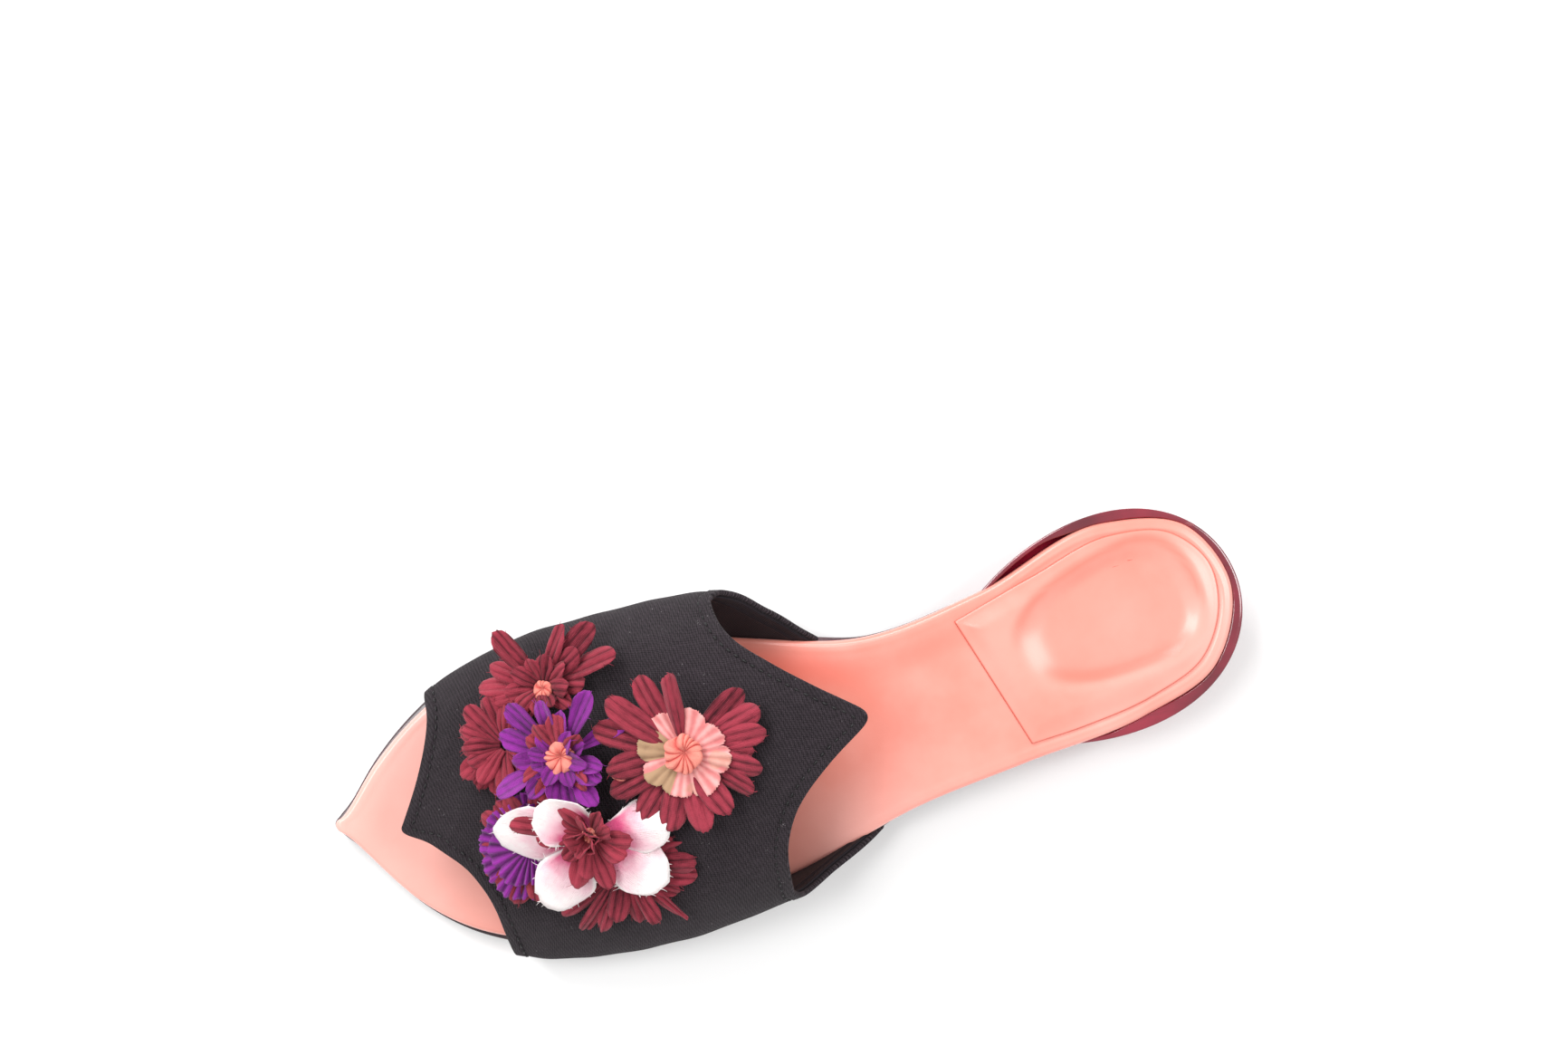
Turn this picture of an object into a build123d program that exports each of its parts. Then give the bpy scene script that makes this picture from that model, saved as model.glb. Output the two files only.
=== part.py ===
"""Left shoe of a pair of pointed, open-toed mules: a lacquered wooden heel, a leather-covered
footbed, a lacquered outsole, a black cotton vamp in three layers and a posy of cloth flowers.

Frame: +Z up, the toe towards -X, the heel towards +X, the inner (medial) side towards +Y.
The outline is drawn about the middle of the footbed, and every piece is moved at the end so
that the origin is the middle of the shoe's own box, on the ground.
"""
import os
from math import cos, exp, pi, radians, sin

from build123d import *

os.makedirs("parts", exist_ok=True)

# ---- Driving dimensions, in millimetres -----------------------------------------------------
# layers under the foot, from the ground up
outsole_t = 3.0
margin_t = 1.0
board_t = 1.3
foam_t = 0.8
cover_t = 0.7
footbed_t = margin_t + board_t + foam_t + cover_t
gap = 0.1
tall = 90

# plan outline of the footbed: the toe, then the medial side, the heel and the lateral side
toe_tip = (-127, -1.5)
medial_side = [(-113, 14.3), (-94, 27.2), (-66, 35.2), (-38, 34.4), (-5, 24.4), (25, 17.5), (60, 22.4)]
heel_end = [(97, 33), (119, 27), (127, 10), (118, -11.5), (96, -20.6)]
lateral_side = [(62, -25.8), (30, -31.3), (0, -40.5), (-45, -47.8), (-84, -43), (-108, -27.5)]
outsole_end = 63
toe_draw = 1.5

# the footbed's top along the shoe, as (x, z)
footbed_line = [(-132, 9.8), (-110, 7.6), (-85, 6.85), (-58, 6.8), (-30, 9), (0, 13.8), (25, 18),
                (50, 21), (80, 23), (105, 23.8), (135, 23.8)]

# the vamp's arch at each station: x, ridge height, ridge y, lateral lean, medial lean
vamp_stations = [(-116, 17, -5.5, 0, 0), (-95, 27, -4.5, 0.5, 1), (-70, 38, -3.5, 0.5, 1),
                 (-40, 49, -2.5, 0.3, 3.5), (-8, 57.5, -1, 0.8, 12), (28, 63, 0.8, 5, 14)]
outer_t = 1.0
interlining_t = 0.5
lining_t = 0.8
vamp_t = outer_t + interlining_t + lining_t
lasting_w = 10
toe_peak = (-108.3, -5.3)
nail_turns = (45, 135, 225, 315)
shoulder_z = 38
# the lasting margin lies under the footbed between the vamp's front and rear corners
lasted_corners = [(-92, 50), (-94, 0), (-86.5, -60), (22, -60), (24, -20), (16, 10), (14, 50)]

# the heel's hull, as slices along its own axis: height, front, rear, half-width
heel_slices = [(0.4, -17, 8, 8.5), (1.6, -25, 12, 13.5), (4, -37, 17, 18.5), (8, -45, 22, 22.7),
               (13, -49.5, 26.5, 25.6), (19, -52, 31.4, 27.8), (26, -53, 34.8, 29.4)]
heel_turn = 11.5
heel_centre = (96, 6.3)
egg = 0.16
rim_drop = 1.6
seat_clearance = 0.3

# the heel's wear piece and the fasteners
top_piece_len, top_piece_w, top_piece_t = 23, 14.5, 2.6
pin_d, pin_len, pin_reach = 2.5, 5, 7
screw_d, screw_head_d, screw_len = 4, 7, 15
nail_d, nail_len, nail_ring = 1.8, 14, 10
shank_len, shank_w, shank_turn = 104, 11, 5
shank_centre = (48, 0.5)
rivet_d = 3
rivet_places = [(6, -3.2), (70, 2.4)]
filler_end = -22

# the heel sock and its pad
sock_outline = [(51.5, 16.2), (75, 23.5), (98, 29.5), (114, 26.5), (122.5, 16), (122.5, 5),
                (115, -8.5), (100, -15.5), (80, -19.5), (64.5, -21)]
sock_t = 1.2
sock_pad_t = 0.6
sock_middle = (88, 4)
sock_pad_share = 0.88

# the posy: a backing patch, then rings of petals and gathered buttons stacked above it
backing_t = 0.8
backing_centre = (-53, -2)
backing_radii = (30, 33)
petal_t = 0.5
thread_r = 0.5
# ring: x, y, height above the vamp, petals, reach, petal width, hub radius
petal_rings = {
    "fan_petals": (-75.4, 14, 1.7, 12, 13, 5, 4),
    "carnation_petals": (-80.3, -15.9, 1.7, 14, 13, 5, 6),
    "carnation_frill": (-80.3, -15.9, 3.2, 12, 9, 4, 4),
    "low_daisy_petals": (-49.4, -29.1, 1.7, 13, 18, 5.5, 5),
    "top_flower_petals": (-58.4, 26, 4.4, 9, 15, 6, 4),
    "top_flower_inner": (-58.4, 26, 5.9, 7, 9, 5, 3),
    "purple_petals": (-57, 7.3, 8.4, 8, 14, 6, 5),
    "purple_inner": (-57, 7.3, 9.9, 7, 9.5, 5, 4),
    "daisy_petals": (-25.8, 1.8, 4.2, 16, 20.5, 6, 6),
    "daisy_ruffle": (-25.8, 1.8, 5.8, 8, 11, 7, 7),
    "blossom_flower": (-54.5, -14.5, 11.5, 7, 11, 5, 3),
}
# button: x, y, height above the vamp, radius, height
buttons = {
    "top_flower_button": (-58.4, 26, 6.8, 3.2, 2.6),
    "purple_button": (-57, 7.3, 10.8, 4.8, 3.4),
    "daisy_button": (-25.8, 1.8, 6.7, 5.5, 3.4),
    "blossom_button": (-54.5, -14.5, 12.4, 2.6, 2.2),
    "small_button": (-42.1, -0.3, 6.6, 2.6, 2.2),
}
blossom_place = (-54.5, -14.5, 10)
blossom_spread = [(168, 17), (238, 14), (318, 12), (8, 12), (100, 8)]
blossom_petal_r = 8.5
# thread: x, y, length up from the backing patch
threads = [(-75.4, 14, 1.4), (-80.3, -15.9, 2.4), (-49.4, -29.1, 1.4), (-58.4, 26, 5.3),
           (-57, 7.3, 9.3), (-25.8, 1.8, 5.2), (-54.5, -14.5, 10.9)]

# ---- Shared curves and blocks ----------------------------------------------------------------


def welt(x):
    """How far the outsole stands out from the footbed: widest where the vamp wraps between."""
    return 0.5 + 1.9 * exp(-(((x + 45) / 56) ** 4))


def pushed_out(points, side):
    """Outline points moved outwards by the welt at their place."""
    return [(x, y + side * welt(x)) for x, y in points]


footbed_points = [toe_tip, *medial_side, *heel_end, *lateral_side, toe_tip]
footbed_edge = Spline(*footbed_points)
sole_toe = (toe_tip[0] - 0.8, toe_tip[1])
sole_medial = Spline(sole_toe, *pushed_out(medial_side, 1), (97, 33.5))
sole_lateral = Spline(sole_toe, *pushed_out(lateral_side[::-1], -1), (96, -21))
footbed_top = Spline(*[(x, 0, z) for x, z in footbed_line])


def value_at(curve, x, axis):
    """The curve's Y or Z at a given x, found by halving, because x grows along the curve."""
    low, high = 0.0, 1.0
    for _ in range(30):
        middle = (low + high) / 2
        if (curve @ middle).X < x:
            low = middle
        else:
            high = middle
    return getattr(curve @ low, axis)


def band(upper, lower, start=-131, end=134):
    """A slab between two depths under the footbed's top, following it along the shoe."""
    with BuildPart() as slab:
        with BuildSketch(Plane.XZ):
            with BuildLine():
                over = Spline(*[(x, z - upper) for x, z in footbed_line])
                under = Spline(*[(x, z - lower) for x, z in footbed_line])
                Line(over @ 0, under @ 0)
                Line(over @ 1, under @ 1)
            make_face()
            with Locations(((start + end) / 2, 0)):
                Rectangle(end - start, 4 * tall, mode=Mode.INTERSECT)
        extrude(amount=tall, both=True)
    return slab.part


def plan(inset=0.0):
    """The footbed's outline, drawn in by an inset, as a tall block. Each point of the outline
    moves square to the edge, and the pointed toe moves back further."""
    points = [(toe_tip[0] + toe_draw * inset, toe_tip[1])]
    for x, y in footbed_points[1:-1]:
        along = footbed_edge.tangent_at((x, y, 0))
        points.append((x + inset * along.Y, y - inset * along.X))
    with BuildPart() as block:
        with BuildSketch():
            with BuildLine():
                edge = Spline(*points, points[0], mode=Mode.PRIVATE)
                add([edge.trim(0, 0.5), edge.trim(0.5, 1)])
            make_face()
        extrude(amount=tall)
    return block.part


def arch(depth):
    """The space under the vamp at a depth below its outside, lofted through the stations. Each
    arch runs from the feather edge up the wall, over the shoulder and roof to the ridge."""
    with BuildPart() as space:
        for x, ridge, ridge_y, lateral_lean, medial_lean in vamp_stations:
            foot_z = value_at(footbed_top, x, "Z") - footbed_t
            rise = ridge - depth - foot_z
            halves = []
            for curve, side, lean in ((sole_lateral, -1, lateral_lean), (sole_medial, 1, medial_lean)):
                foot_y = value_at(curve, x, "Y") - side * depth
                wall_y = foot_y + side * lean
                shape = [(foot_y, 0), (foot_y + side * lean * 0.55, 0.25), (wall_y, 0.5),
                         (ridge_y + (wall_y - ridge_y) * 0.82, 0.74),
                         (ridge_y + (wall_y - ridge_y) * 0.45, 0.925)]
                halves.append([(y, foot_z + rise * part) for y, part in shape])
            points = [*halves[0], (ridge_y, foot_z + rise), *halves[1][::-1]]
            low = foot_z - 6
            with BuildSketch(Plane.YZ.offset(x)):
                with BuildLine():
                    Spline(*points)
                    Polyline(points[0], (points[0][0], low), (points[-1][0], low), points[-1])
                make_face()
        loft()
    return space.part


def wall_cut(side, edge_points):
    """What is cut from behind one side wall of the vamp, below its shoulder."""
    with BuildPart() as cutter:
        with BuildSketch(Plane.XZ):
            with BuildLine():
                edge = Spline(*edge_points, tangents=[(0, -1), (1, -0.75)])
                Polyline(edge @ 1, (60, 4), (60, shoulder_z), edge @ 0)
            make_face()
        extrude(amount=-side * 70)
    return cutter.part


def egg_slice(height, front, rear, half_width):
    """One level of the heel: an oval, fuller towards the rear, as a face."""
    middle, reach = (front + rear) / 2, (rear - front) / 2
    turns = [2 * pi * i / 12 for i in range(12)]
    outline = [(middle + reach * cos(t), half_width * sin(t) * (1 + egg * cos(t))) for t in turns]
    with BuildSketch(Plane.XY.offset(height)) as level:
        with BuildLine():
            Spline(*outline, periodic=True)
        make_face()
    return level.sketch.face()


def on_heel_axis(along, across=0.0):
    """A plan point at a distance along and across the heel's axis."""
    turn = radians(heel_turn)
    return (heel_centre[0] + along * cos(turn) - across * sin(turn),
            heel_centre[1] + along * sin(turn) + across * cos(turn))


whole_plan = plan()
inner_plan = plan(cover_t)
margin_plan = plan(lasting_w + 0.5)
hull = loft([egg_slice(*level) for level in heel_slices])
hull = hull.moved(Location((*heel_centre, 0), (0, 0, heel_turn)))
seat = plan(-seat_clearance) & band(-40, footbed_t)
seat_z = value_at(footbed_top, heel_centre[0], "Z") - footbed_t
heel_foot = on_heel_axis(-4.5)
pin_places = [on_heel_axis(-4.5 - pin_reach), on_heel_axis(-4.5 + pin_reach)]
nail_places = [on_heel_axis(nail_ring * cos(radians(t)), nail_ring * sin(radians(t))) for t in nail_turns]
board_top = seat_z + margin_t + board_t

# ---- Bottom unit ------------------------------------------------------------------------------
with BuildPart() as outsole:
    with BuildSketch():
        with BuildLine():
            add([sole_medial, sole_lateral])
            Line(sole_medial @ 1, sole_lateral @ 1)
        make_face()
        with Locations((outsole_end - 200, 0)):
            Rectangle(400, 200, mode=Mode.INTERSECT)
    extrude(amount=tall)
    add(band(footbed_t, footbed_t + outsole_t), mode=Mode.INTERSECT)
    add(hull, mode=Mode.SUBTRACT)

with BuildPart() as heel_top_piece_pins:
    with Locations(*[(x, y, top_piece_t - 1) for x, y in pin_places]):
        Cylinder(pin_d / 2, pin_len, align=(Align.CENTER, Align.CENTER, Align.MIN))

with BuildPart() as heel_top_piece:
    with BuildSketch():
        with Locations(heel_foot):
            Ellipse(top_piece_len / 2, top_piece_w / 2, rotation=heel_turn)
    extrude(amount=top_piece_t)
    add(heel_top_piece_pins.part, mode=Mode.SUBTRACT)

with BuildPart() as heel_screw:
    with Locations((*heel_centre, board_top)):
        Cylinder(screw_d / 2, screw_len, align=(Align.CENTER, Align.CENTER, Align.MAX))
        Cone(screw_d / 2, screw_head_d / 2, board_t, align=(Align.CENTER, Align.CENTER, Align.MAX))

with BuildPart() as heel_nails:
    with Locations(*[(x, y, board_top) for x, y in nail_places]):
        Cylinder(nail_d / 2, nail_len, align=(Align.CENTER, Align.CENTER, Align.MAX))
        Cylinder(nail_d, 0.6, align=(Align.CENTER, Align.CENTER, Align.MAX))

with BuildPart() as heel_block:
    add(hull)
    add(band(-40, rim_drop), mode=Mode.SUBTRACT)
    add(seat, mode=Mode.SUBTRACT)
    with BuildSketch():
        with Locations(heel_foot):
            Ellipse(top_piece_len / 2 + gap, top_piece_w / 2 + gap, rotation=heel_turn)
    extrude(amount=top_piece_t, mode=Mode.SUBTRACT)
    add([heel_screw.part, heel_nails.part, heel_top_piece_pins.part], mode=Mode.SUBTRACT)

# ---- Footbed ----------------------------------------------------------------------------------
with BuildPart() as shank:
    with BuildSketch():
        with Locations(shank_centre):
            SlotOverall(shank_len, shank_w, rotation=shank_turn)
        with Locations(*rivet_places):
            Circle(rivet_d / 2, mode=Mode.SUBTRACT)
        with Locations(heel_centre):
            Circle(screw_d / 2 + gap, mode=Mode.SUBTRACT)
    extrude(amount=tall)
    add(band(footbed_t - margin_t, footbed_t), mode=Mode.INTERSECT)
    add(heel_nails.part, mode=Mode.SUBTRACT)

with BuildPart() as shank_rivets:
    with BuildSketch():
        with Locations(*rivet_places):
            Circle(rivet_d / 2)
    extrude(amount=tall)
    add(band(cover_t + foam_t, footbed_t), mode=Mode.INTERSECT)

with BuildPart() as shank_board:
    add(margin_plan)
    add(band(footbed_t - margin_t, footbed_t, start=filler_end + gap), mode=Mode.INTERSECT)
    with BuildSketch():
        with Locations(shank_centre):
            SlotOverall(shank_len + 2 * gap, shank_w + 2 * gap, rotation=shank_turn)
        with Locations(heel_centre):
            Circle(screw_d / 2 + gap)
    extrude(amount=tall, mode=Mode.SUBTRACT)
    add(heel_nails.part, mode=Mode.SUBTRACT)

with BuildPart() as forepart_filler:
    add(margin_plan)
    add(band(footbed_t - margin_t, footbed_t, end=filler_end), mode=Mode.INTERSECT)

with BuildPart() as insole_board:
    add(inner_plan)
    add(band(cover_t + foam_t, footbed_t - margin_t), mode=Mode.INTERSECT)
    add([shank_rivets.part, heel_screw.part, heel_nails.part], mode=Mode.SUBTRACT)

with BuildPart() as insole_foam:
    add(inner_plan)
    add(band(cover_t, cover_t + foam_t), mode=Mode.INTERSECT)
    add([heel_screw.part, heel_nails.part], mode=Mode.SUBTRACT)

with BuildPart() as lasted_zone:
    with BuildSketch():
        Polygon(*lasted_corners, align=None)
    extrude(amount=tall)
    add(band(footbed_t - margin_t, footbed_t), mode=Mode.INTERSECT)

with BuildPart() as insole_cover:
    add(whole_plan)
    add(band(0, footbed_t), mode=Mode.INTERSECT)
    add(inner_plan & band(cover_t, footbed_t - margin_t), mode=Mode.SUBTRACT)
    add(plan(lasting_w) & band(footbed_t - margin_t, footbed_t), mode=Mode.SUBTRACT)
    add(lasted_zone.part, mode=Mode.SUBTRACT)

with BuildPart() as heel_sock_pad:
    with BuildSketch():
        with BuildLine():
            pad_points = [(sock_middle[0] + (x - sock_middle[0]) * sock_pad_share,
                           sock_middle[1] + (y - sock_middle[1]) * sock_pad_share) for x, y in sock_outline]
            Spline(*pad_points)
            Line(pad_points[-1], pad_points[0])
        make_face()
    extrude(amount=tall)
    add(band(-sock_pad_t, 0), mode=Mode.INTERSECT)

with BuildPart() as heel_sock:
    with BuildSketch():
        with BuildLine():
            Spline(*sock_outline)
            Line(sock_outline[-1], sock_outline[0])
        make_face()
    extrude(amount=tall)
    add(band(-sock_t, 0), mode=Mode.INTERSECT)
    add(heel_sock_pad.part, mode=Mode.SUBTRACT)

# ---- Vamp -------------------------------------------------------------------------------------
with BuildPart() as vamp_openings:
    with BuildSketch():
        with BuildLine():
            toe_medial = Spline((-94, 60), (-94, 30), (-95.3, 18), (-98.6, 10.7), (-103.3, 2.3), toe_peak)
            toe_lateral = Spline(toe_peak, (-102.1, -8.3), (-92.1, -17.7), (-86.6, -31), (-85.8, -45), (-85, -70))
            Polyline(toe_lateral @ 1, (-150, -70), (-150, 60), toe_medial @ 0)
        make_face()
    extrude(amount=tall)
    with BuildSketch(Plane.XY.offset(shoulder_z)):
        with BuildLine():
            throat_lateral = Spline((-7.5, -60), (-7.3, -38), (-5.6, -27.7), (0.5, -17.3), (11.3, -8),
                                    (22, -0.4))
            throat_medial = Spline((21.8, 1.6), (10.4, 10.6), (-0.2, 19.5), (-8.1, 27.3), (-11.5, 36),
                                   (-11.5, 60))
            ThreePointArc(throat_lateral @ 1, (22.9, 0.6), throat_medial @ 0)
            Polyline(throat_medial @ 1, (60, 60), (60, -60), throat_lateral @ 0)
        make_face()
    extrude(amount=tall)
    add(wall_cut(-1, [(-7.5, shoulder_z), (-5, 32.5), (3.4, 24.2), (13.7, 17.3), (23.5, 11), (32, 4)]))
    add(wall_cut(1, [(-11.5, shoulder_z), (-8.4, 33.5), (-1.8, 27.4), (5.4, 20.3), (15.5, 11), (22, 4)]))

arch_outside, under_outer, under_interlining, under_lining = [
    arch(depth) for depth in (0, outer_t, outer_t + interlining_t, vamp_t)]
under_foot = band(footbed_t, footbed_t + 30)
under_margin = band(footbed_t - margin_t, footbed_t + 30)
footbed_block = whole_plan & band(-0.05, footbed_t - margin_t)
lasting_margin = (arch_outside & lasted_zone.part) - plan(lasting_w)

with BuildPart() as vamp_outer:
    add(arch_outside)
    add(under_outer, mode=Mode.SUBTRACT)
    add([vamp_openings.part, under_foot, footbed_block], mode=Mode.SUBTRACT)
    add(lasting_margin)

with BuildPart() as vamp_interlining:
    add(under_outer)
    add(under_interlining, mode=Mode.SUBTRACT)
    add([vamp_openings.part, under_margin, footbed_block], mode=Mode.SUBTRACT)

with BuildPart() as vamp_lining:
    add(under_interlining)
    add(under_lining, mode=Mode.SUBTRACT)
    add([vamp_openings.part, under_margin, footbed_block], mode=Mode.SUBTRACT)

# ---- Flowers ----------------------------------------------------------------------------------
with BuildPart() as flower_backing:
    add(arch(-backing_t - gap))
    add(arch(-gap), mode=Mode.SUBTRACT)
    with BuildSketch(Plane.XY.offset(shoulder_z / 2)):
        with Locations(backing_centre):
            Ellipse(*backing_radii)
    extrude(amount=tall, mode=Mode.INTERSECT)

vamp_skin = arch_outside.shells()[0]


def on_vamp(x, y, lift):
    """A plane above the vamp at a plan point, square to its surface and lifted off it."""
    point, normal = vamp_skin.find_intersection_points(Axis((x, y, tall), (0, 0, -1)))[0]
    if normal.Z < 0:
        normal = -normal
    return Plane(origin=point + normal * lift, x_dir=Vector(1, 0, 0) - normal * normal.X, z_dir=normal)


with BuildPart() as flower_threads:
    for x, y, length in threads:
        with BuildSketch(on_vamp(x, y, backing_t + 2 * gap)):
            Circle(thread_r)
        extrude(amount=length)


def petal_ring(place, count, reach, width, hub):
    """A flat ring of oval petals about a hub, pierced by the threads."""
    length = reach - hub * 0.6
    with BuildPart() as ring:
        with BuildSketch(place):
            Circle(hub)
            with PolarLocations(reach - length / 2, count):
                Ellipse(length / 2, width / 2)
        extrude(amount=petal_t)
        add(flower_threads.part, mode=Mode.SUBTRACT)
    return ring


def button(place, radius, height):
    """A gathered button: a low drum with a well-rounded top."""
    with BuildPart() as drum:
        with BuildSketch(place):
            Circle(radius)
        extrude(amount=height)
        top = drum.faces().filter_by(GeomType.PLANE).sort_by(Axis(place.origin, place.z_dir))[-1]
        fillet(top.edges(), height * 0.6)
    return drum


pieces = {"outsole": outsole, "heel_block": heel_block, "heel_top_piece": heel_top_piece,
          "heel_top_piece_pins": heel_top_piece_pins, "heel_screw": heel_screw, "heel_nails": heel_nails,
          "shank": shank, "shank_rivets": shank_rivets, "shank_board": shank_board,
          "forepart_filler": forepart_filler, "insole_board": insole_board, "insole_foam": insole_foam,
          "insole_cover": insole_cover, "heel_sock_pad": heel_sock_pad, "heel_sock": heel_sock,
          "vamp_outer": vamp_outer, "vamp_interlining": vamp_interlining, "vamp_lining": vamp_lining,
          "flower_backing": flower_backing, "flower_threads": flower_threads}

for name, (x, y, lift, count, reach, width, hub) in petal_rings.items():
    pieces[name] = petal_ring(on_vamp(x, y, lift), count, reach, width, hub)
for name, (x, y, lift, radius, height) in buttons.items():
    pieces[name] = button(on_vamp(x, y, lift), radius, height)

with BuildPart() as blossom_petals:
    with BuildSketch(on_vamp(*blossom_place)):
        Circle(6)
        for turn, distance in blossom_spread:
            with PolarLocations(distance, 1, start_angle=turn):
                Circle(blossom_petal_r)
    extrude(amount=petal_t)
    add(flower_threads.part, mode=Mode.SUBTRACT)
pieces["blossom_petals"] = blossom_petals

# ---- Place about the shoe's own box and write -------------------------------------------------
boxes = [builder.part.bounding_box() for builder in pieces.values()]
low_x, high_x = min(b.min.X for b in boxes), max(b.max.X for b in boxes)
low_y, high_y = min(b.min.Y for b in boxes), max(b.max.Y for b in boxes)
to_origin = Location((-(low_x + high_x) / 2, -(low_y + high_y) / 2, -min(b.min.Z for b in boxes)))
for name, builder in pieces.items():
    builder.part = builder.part.moved(to_origin)
    builder.part.label = name
    export_step(builder.part, f"parts/{name}.step")
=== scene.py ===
"""The looks of the left mule: leather, lacquer, twill and cloth flowers around the CAD frame.

Shapes are worked out in millimetres in the shoe's drawing frame (toe towards -X, medial side
towards +Y, ground at z = 0) and moved into the CAD frame by one shift.
"""
import math

import bmesh
import bpy
import numpy as np
from mathutils import Matrix, Vector


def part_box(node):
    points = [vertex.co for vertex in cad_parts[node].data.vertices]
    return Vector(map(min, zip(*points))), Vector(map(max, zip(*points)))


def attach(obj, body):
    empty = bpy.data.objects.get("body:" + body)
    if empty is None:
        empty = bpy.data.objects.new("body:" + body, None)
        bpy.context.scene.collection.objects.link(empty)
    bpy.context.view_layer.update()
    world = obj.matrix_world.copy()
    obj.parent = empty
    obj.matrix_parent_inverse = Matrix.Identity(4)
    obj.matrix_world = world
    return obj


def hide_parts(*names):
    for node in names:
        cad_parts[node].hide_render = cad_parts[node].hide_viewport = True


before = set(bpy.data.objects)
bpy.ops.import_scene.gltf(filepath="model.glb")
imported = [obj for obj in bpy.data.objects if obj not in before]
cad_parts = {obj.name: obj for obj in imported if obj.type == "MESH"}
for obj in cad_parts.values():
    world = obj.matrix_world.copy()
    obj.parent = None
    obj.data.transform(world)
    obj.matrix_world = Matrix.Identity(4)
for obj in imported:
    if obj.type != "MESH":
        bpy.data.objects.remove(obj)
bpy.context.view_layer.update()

# ---- Sizes of the shoe, in millimetres ---------------------------------------------------------
MM = 0.001
OUTSOLE_T, FOOTBED_T = 3.0, 3.8
OUTSOLE_END = 66.4
TOE = (-127.0, -1.5)
MEDIAL = [(-113, 14.3), (-94, 27.2), (-66, 35.2), (-38, 34.4), (-5, 24.4), (25, 17.5), (60, 22.4)]
HEEL_END = [(97, 33), (119, 27), (127, 10), (118, -11.5), (96, -20.6)]
LATERAL = [(62, -25.8), (30, -31.3), (0, -40.5), (-45, -47.8), (-84, -43), (-108, -27.5)]
FOOTBED_LINE = [(-132, 9.8), (-110, 7.6), (-85, 6.85), (-58, 6.8), (-30, 9), (0, 13.8), (25, 18),
                (50, 21), (80, 23), (105, 23.8), (135, 23.8)]
# the vamp's stations: x, ridge height, ridge y, lateral lean, medial lean
STATIONS = [(-116, 17, -5.5, 0, 0), (-95, 27, -4.5, 0.5, 1), (-70, 38, -3.5, 0.5, 1),
            (-40, 49, -2.5, 0.3, 3.5), (-8, 57.5, -1, 0.8, 12), (28, 63, 0.8, 5, 14)]
ARCH_KNOTS = [0, 0.074, 0.148, 0.2375, 0.362, 0.5]
ARCH_RISE = [0, 0.25, 0.5, 0.74, 0.925, 1]
SHOULDER_SHARE, ROOF_SHARE = 0.82, 0.45
SHOULDER_Z = 38.0
TOE_PEAK_Y = -5.3
TOE_LATERAL = [(-47, -85.7), (-38, -86), (-31, -86.6), (-24.3, -88.4), (-17.7, -92.1), (-12.5, -97),
               (-8.3, -102.1), (-5.3, -108.3)]
TOE_MEDIAL = [(-5.3, -108.3), (2.3, -103.3), (10.7, -98.6), (18, -95.3), (24.4, -93.7), (30, -94), (37, -94)]
THROAT_LATERAL = [(-46, -7.5), (-38, -7.3), (-27.7, -5.6), (-17.3, 0.5), (-8, 11.3), (-0.4, 22), (0.6, 22.9)]
THROAT_MEDIAL = [(0.6, 22.9), (1.6, 21.8), (10.6, 10.4), (19.5, -0.2), (27.3, -8.1), (36, -11.5), (42, -11.5)]
WALL_LATERAL = [(4, 32), (11, 23.5), (17.3, 13.7), (24.2, 3.4), (32.5, -5), (38, -7.5)]
WALL_MEDIAL = [(4, 22), (11, 15.5), (20.3, 5.4), (27.4, -1.8), (33.5, -8.4), (38, -11.5)]
VAMP_T, CLOTH_T = 2.3, 1.5
CLOTH_WIDTH = 150
# the heel's slices along its own axis: height, front, rear, half-width
HEEL_SLICES = [(0.4, -17, 8, 8.5), (1.6, -25, 12, 13.5), (4, -37, 17, 18.5), (8, -45, 22, 22.7),
               (13, -49.5, 26.5, 25.6), (19, -52, 31.6, 28.5), (26, -53, 35.2, 30.3)]
HEEL_TURN = math.radians(11.5)
HEEL_CENTRE = np.array([96.0, 6.3])
EGG = 0.16
RIM_DROP, LIP = 1.6, 1.35
FOOT_Z = 0.4
SOCK = [(51.5, 16.2), (75, 23.5), (98, 29.5), (114, 26.5), (122.5, 16), (122.5, 5),
        (115, -8.5), (100, -15.5), (80, -19.5), (64.5, -21)]
SOCK_MIDDLE = (88.0, 4.0)
SOCK_T, SOCK_PAD_T = 0.7, 0.8
# the heel cup: middle, depth, reach to the rear and to the waist, half-width, squareness
CUP_X, CUP_Y = 98, 8.5
CUP_DEPTH, CUP_REAR, CUP_FRONT, CUP_HALF, CUP_POWER = 2.3, 19, 30, 16.8, 2.6

screw_low, screw_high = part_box("heel_screw")
SHIFT = np.array([(screw_low[0] + screw_high[0]) / 2 / MM - HEEL_CENTRE[0],
                  (screw_low[1] + screw_high[1]) / 2 / MM - HEEL_CENTRE[1], 0.0])


# ---- Curves and grids ----------------------------------------------------------------------------
def through(knots, values, at):
    """A smooth curve through points: cubic pieces whose slopes come from the neighbours."""
    knots, values, at = np.asarray(knots, float), np.asarray(values, float), np.asarray(at, float)
    slopes = np.gradient(values, knots, axis=0)
    i = np.clip(np.searchsorted(knots, at) - 1, 0, len(knots) - 2)
    step = knots[i + 1] - knots[i]
    t = (at - knots[i]) / step
    if values.ndim > 1:
        t, step = t[..., None], step[..., None]
    return (values[i] * (2 * t**3 - 3 * t**2 + 1) + slopes[i] * step * (t**3 - 2 * t**2 + t)
            + values[i + 1] * (3 * t**2 - 2 * t**3) + slopes[i + 1] * step * (t**3 - t**2))


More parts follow.
